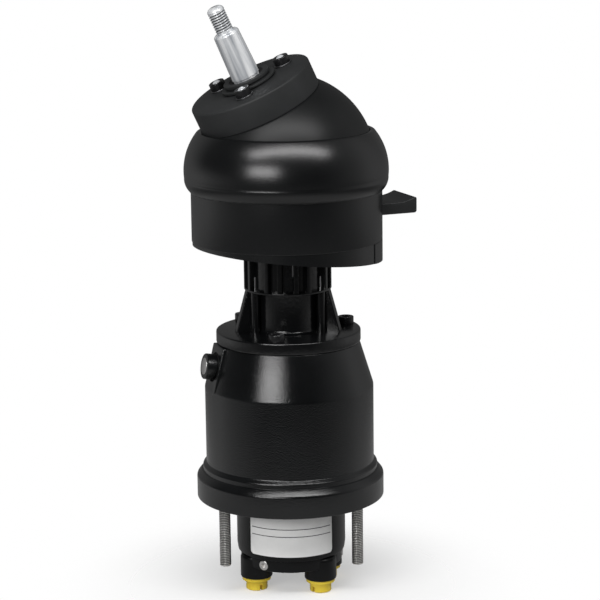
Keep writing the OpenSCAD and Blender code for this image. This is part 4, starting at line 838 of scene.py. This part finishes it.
shaft = {"ballR": 8.5, "pinR": 2.52, "pinLong": 20, "stemR": 5.5, "stemLow": 2, "stemTop": 16, "stepR": 7.6,
         "stepTop": 18, "radius": 9.0, "shoulderR": 11.5, "shoulderT": 3, "seatR": 9.98, "bearingLow": 47.0,
         "bearingTop": 59.0, "grooveR": 9.2, "grooveT": 1.5, "lip": 1.9, "lipEnd": 2.1, "journalR": 9.3,
         "retainerTop": 68.1, "journalOver": 0.2, "taperOver": 0.5, "taperR": 9.9, "top": 101.6,
         "chamferH": 1.1, "chamferW": 1.3, "faceR": 5.0, "keyW": 5.0, "keyDeep": 6, "keyLow": 86.0,
         "keyLen": 12.0, "keyRound": 0.49, "keySegments": 6, "threadR": 6.0, "threadSunk": 1.0,
         "threadTop": 120.2, "pitch": 1.75, "depth": 1.15, "tip": 2.6, "tipRound": 3.3, "tipLeast": 0.12,
         "foot": 2.0}


def shaftBody(s):
    shoulderLow, grooveTop = s["bearingLow"] - s["shoulderT"], s["bearingTop"] + s["grooveT"]
    stem = lathe([(0, s["stemLow"]), (s["stemR"], s["stemLow"]), (s["stemR"], s["stemTop"]),
                  (s["stepR"], s["stemTop"], 0.4), (s["radius"], s["stepTop"], 0.4), (s["radius"], shoulderLow),
                  (s["shoulderR"], shoulderLow, 0.4), (s["shoulderR"], s["bearingLow"]),
                  (s["seatR"], s["bearingLow"]), (s["seatR"], s["bearingTop"]), (s["grooveR"], s["bearingTop"]),
                  (s["grooveR"], grooveTop), (s["seatR"], grooveTop), (s["seatR"], s["bearingTop"] + s["lip"]),
                  (s["journalR"], s["bearingTop"] + s["lipEnd"]),
                  (s["journalR"], s["retainerTop"] + s["journalOver"]),
                  (s["taperR"], s["retainerTop"] + s["taperOver"]),
                  (s["radius"], s["top"] - s["chamferH"], 0.5),
                  (s["radius"] - s["chamferW"], s["top"], 0.3), (s["faceR"], s["top"]), (0, s["top"])], 80, 3)
    ball = bmesh.new()
    bmesh.ops.create_uvsphere(ball, u_segments=48, v_segments=24, radius=s["ballR"])
    key = brick(s["keyW"], s["keyDeep"], s["keyLen"])
    upEdges = [e for e in key.edges if abs(e.verts[0].co.y - e.verts[1].co.y) > 1]
    bevel(key, upEdges, s["keyW"] * s["keyRound"], s["keySegments"])
    moved(key, shift(0, s["radius"], s["keyLow"] + s["keyLen"] / 2))
    pin = moved(cylinder(s["pinR"], s["pinLong"]), standOnY)
    return combine(stem, [("UNION", ball), ("DIFFERENCE", key), ("DIFFERENCE", pin)])


def shaftTip(s):
    # the wheel nut's thread, with a rounded end
    bm = threadRod(s["threadR"], s["pitch"], s["depth"], s["top"] - s["threadSunk"], s["threadTop"],
                   s["tip"], s["foot"], 56, 10)
    for v in bm.verts:
        rise = v.co.z - (s["threadTop"] - s["tip"])
        if rise > 0 and reachOf(v) > 0.5:
            most = s["threadR"] * math.sqrt(max(s["tipLeast"], 1 - (rise / s["tipRound"]) ** 2))
            squeeze(v, min(1.0, most / reachOf(v)))
    return bm


finishPiece("steeringShaft", addTo(shaftBody(shaft), shaftTip(shaft)), finishes["shaftZincPaintedStreaks"], "wheel_shaft",
            ["steering_shaft"], headFrame)

# tilt lever

lever = {"half": 18.0, "pinX": 56.0, "pinZ": 190.0, "hubR": 4.9, "pinR": 2.54, "backX": 1.6, "neckX": 4.2,
         "bendX": 4.4, "bendDrop": 2, "bellyX": 8.6, "paddleZ": 197.6, "tipZ": 205.6, "reach": 91.3, "lip": 3.0,
         "lipT": 1.7, "sweepIn": 1.6, "sweep": 12.4, "edge": 0.7, "armLow": 8.0, "armHigh": 14.0, "armIn": 0.2,
         "elbow": 8, "elbowIn": 0.8, "upRound": 2, "lowRound": 3, "noseX": 24.18, "noseZ": 204.66, "noseR": 1.6,
         "noseRound": 0.95, "noseBack": (5.8, 2.6), "noseFoot": (0.2, 8.2), "window": (16, 10), "windowLow": 8}


def tiltLever(l):
    x, z, end, tip, pin = l["pinX"], l["paddleZ"], l["reach"], l["tipZ"], l["pinZ"]
    sweep = [(end - l["sweepIn"] - l["sweep"] * k / 10, tip + l["lip"] * (1 - k / 10) ** 2)
             for k in range(1, 11)]
    paddle = slab([(x + l["backX"], pin), (x + l["neckX"], pin), (x + l["bendX"], z - l["bendDrop"], 0.4),
                   (x + l["bellyX"], z, 1.0), (end, z, 1.8), (end, tip + l["lip"], 1.0),
                   (end - l["lipT"], tip + l["lip"])] + sweep + [(x + l["backX"], tip, 0.5)],
                  -l["half"], l["half"], 5, l["edge"])
    atPin = shift(x, 0, pin) @ standOnY
    hubRound = moved(cylinder(l["hubR"], l["half"] * 2, 64), atPin)
    bore = moved(cylinder(l["pinR"], l["half"] * 3, 48), atPin)
    nx, nz, r, nose = l["noseX"], l["noseZ"], l["hubR"], l["noseR"]
    back, foot, elbow, noseRound = l["noseBack"], l["noseFoot"], x - l["elbow"], nose * l["noseRound"]
    arm = slab([(x, pin + r - l["armIn"]), (elbow, pin + r - l["elbowIn"], l["upRound"]),
                (nx + back[0], nz - back[1], l["upRound"]), (nx + nose, nz + nose, noseRound),
                (nx - nose, nz + nose, noseRound), (nx - foot[0], nz - foot[1], l["lowRound"]),
                (elbow, pin - r + l["elbowIn"], l["lowRound"]), (x, pin - r + l["armIn"])],
               l["armLow"], l["armHigh"], 5)
    window = moved(brick(*l["window"], r + l["windowLow"]), shift(x, 0, pin + (r - l["windowLow"]) / 2))
    return combine(paddle, [("UNION", hubRound), ("UNION", arm), ("DIFFERENCE", window), ("DIFFERENCE", bore)])


finishPiece("tiltLever", tiltLever(lever), finishes["leverPlastic"], "tilt_lever",
            ["tilt_lever"], tiltFrame)
print("shaft and lever made")

# floor, light and camera

floorSpec = {"z": -67.2, "radius": 0.9, "colour": (0.93, 0.93, 0.93), "rough": 0.9, "specular": 0.1,
             "fade": (0.06, 0.20), "least": 0.4, "shineFade": (0.40, 0.62), "shineLeast": 0.58}


def studioFloor(f):
    # paper that fades out round the part; reflections see a greyer table that ends further out
    bm = bmesh.new()
    bmesh.ops.create_circle(bm, cap_ends=True, segments=96, radius=f["radius"])
    made, tree, paper, coords = newMaterial("floorPaper", f["colour"], f["rough"], specular=f["specular"])
    length = tree.nodes.new("ShaderNodeVectorMath")
    length.operation = "LENGTH"
    tree.links.new(coords, length.inputs[0])
    fade = mapRange(tree, length.outputs["Value"], f["least"], 1.0, f["fade"], "SMOOTHERSTEP")
    shine = mapRange(tree, length.outputs["Value"], f["shineLeast"], 1.0, f["shineFade"])
    path = tree.nodes.new("ShaderNodeLightPath")
    clear = tree.nodes.new("ShaderNodeBsdfTransparent")
    blend = tree.nodes.new("ShaderNodeMixShader")
    tree.links.new(mixNode(tree, path.outputs["Is Glossy Ray"], fade, shine), blend.inputs["Fac"])
    tree.links.new(paper.outputs["BSDF"], blend.inputs[1])
    tree.links.new(clear.outputs["BSDF"], blend.inputs[2])
    tree.links.new(blend.outputs["Shader"], tree.nodes["Material Output"].inputs["Surface"])
    laid = newObject("studioFloor", moved(bm, shift(z=f["z"] * mm)))
    laid.data.materials.append(made)
    return laid


floor = studioFloor(floorSpec)

# levels, and the spans of X, Y or Z of a direction over which one level turns into the next
studio = {"diffuse": 0.20, "front": 0.03, "beside": 0.30, "back": 0.12, "frontSpan": (-0.8, 0.2),
          "backSpan": (0.3, 0.85), "sky": 0.10, "backSky": 1.0, "backSkySpan": (0.3, 0.8), "rightSky": 1.0,
          "rightSkySpan": (0.2, 0.8), "horizon": (-0.10, 0.12), "left": 2.0, "leftSpan": (-0.2, -0.9),
          "right": 1.6, "rightSpan": (0.2, 0.9), "floor": 0.15, "floorSpan": (-0.21, -0.31)}


def studioWorld(s):
    # reflections see a room that is light at the sides and high at the back, and dim in front and
    # below; the camera sees plain white
    world = bpy.data.worlds.new("studio")
    bpy.context.scene.world = world
    world.use_nodes = True
    tree = world.node_tree
    direction = tree.nodes.new("ShaderNodeTexCoord")
    x, y, z = splitNode(tree, direction.outputs["Generated"])
    depth = mathNode(tree, "MINIMUM", mapRange(tree, y, s["front"], s["beside"], s["frontSpan"]),
                     mapRange(tree, y, s["beside"], s["back"], s["backSpan"]))
    overhead = mathNode(tree, "MAXIMUM", mapRange(tree, y, s["sky"], s["backSky"], s["backSkySpan"]),
                        mapRange(tree, x, s["sky"], s["rightSky"], s["rightSkySpan"]))
    height = mixNode(tree, mapRange(tree, z, 0.0, 1.0, s["horizon"]), 1.0, overhead)
    wings = mathNode(tree, "MULTIPLY", mapRange(tree, x, 1.0, s["left"], s["leftSpan"]),
                     mapRange(tree, x, 1.0, s["right"], s["rightSpan"]))
    room = mathNode(tree, "MULTIPLY", mathNode(tree, "MULTIPLY", depth, height), wings)
    around = mixNode(tree, mapRange(tree, z, 0.0, 1.0, s["floorSpan"]), room, s["floor"])
    path = tree.nodes.new("ShaderNodeLightPath")
    mirrored = mathNode(tree, "MAXIMUM", path.outputs["Is Glossy Ray"], path.outputs["Is Transmission Ray"])
    shine = mixNode(tree, mirrored, s["diffuse"], around)
    background = tree.nodes["Background"]
    background.inputs["Color"].default_value = (1, 1, 1, 1)
    tree.links.new(mixNode(tree, path.outputs["Is Camera Ray"], shine, 1.0), background.inputs["Strength"])


studioWorld(studio)

lamps = {
    "frontLeft": {"at": (-0.49, -1.03, 0.50), "aim": (0, 0, 0.18), "size": (0.62, 0.32), "watts": 5.6},
    "overhead": {"at": (0.05, -0.76, 1.18), "aim": (0, 0, 0.22), "size": (1.90, 0.32), "watts": 18},
}
for name, spec in lamps.items():
    light = bpy.data.lights.new(name, "AREA")
    light.shape = "RECTANGLE"
    light.size, light.size_y = spec["size"]
    light.energy = spec["watts"]
    lamp = bpy.data.objects.new(name, light)
    lamp.location = spec["at"]
    aim = Vector(spec["aim"]) - Vector(spec["at"])
    lamp.rotation_euler = aim.to_track_quat("-Z", "Y").to_euler()
    lamp.visible_camera = False
    bpy.context.scene.collection.objects.link(lamp)

view = {"at": (0, -1.508, 0.452), "pitch": 11.7, "roll": -0.8, "lens": 132.0, "sensor": 36.0,
        "shift": (0.02, 0.0)}
camData = bpy.data.cameras.new("camera")
camData.sensor_width, camData.lens = view["sensor"], view["lens"]
camData.shift_x, camData.shift_y = view["shift"]
camera = bpy.data.objects.new("camera", camData)
camera.matrix_world = shift(*view["at"]) @ turnBy(90 - view["pitch"], "X") @ turnBy(view["roll"])
bpy.context.scene.collection.objects.link(camera)
bpy.context.scene.camera = camera
bpy.context.scene.view_settings.view_transform = "Standard"
print("floor, light and camera set")

# finishes for the CAD nodes that stay

nodeFinish = {
    "steel": ("block_screws", "cap_screws", "swash_plate", "swash_screws", "neck_screws", "base_screws",
              "pivot_pins", "cover_screws", "lever_pin", "lever_spring", "tilt_yoke", "bearing_outer_ring",
              "bearing_inner_ring", "retaining_ring", "trunnion_pin", "pump_shaft", "rotor", "pistons",
              "coupling_sleeve", "coupling_pins", "joint_shaft"),
    "brightZinc": ("valve_plug", "bearing_balls"),
    "bronze": ("valve_plate", "housing_bush", "head_bush", "bearing_cage"),
    "rubber": ("filler_seal", "block_seal", "shaft_seal", "hub_seal"),
    "whitePlastic": ("neck_bush",),
    "coverPlastic": ("tilt_base",),
}
for finish, names in nodeFinish.items():
    for name in names:
        slots = nodes[name].data.materials
        slots.clear()
        slots.append(finishes[finish])
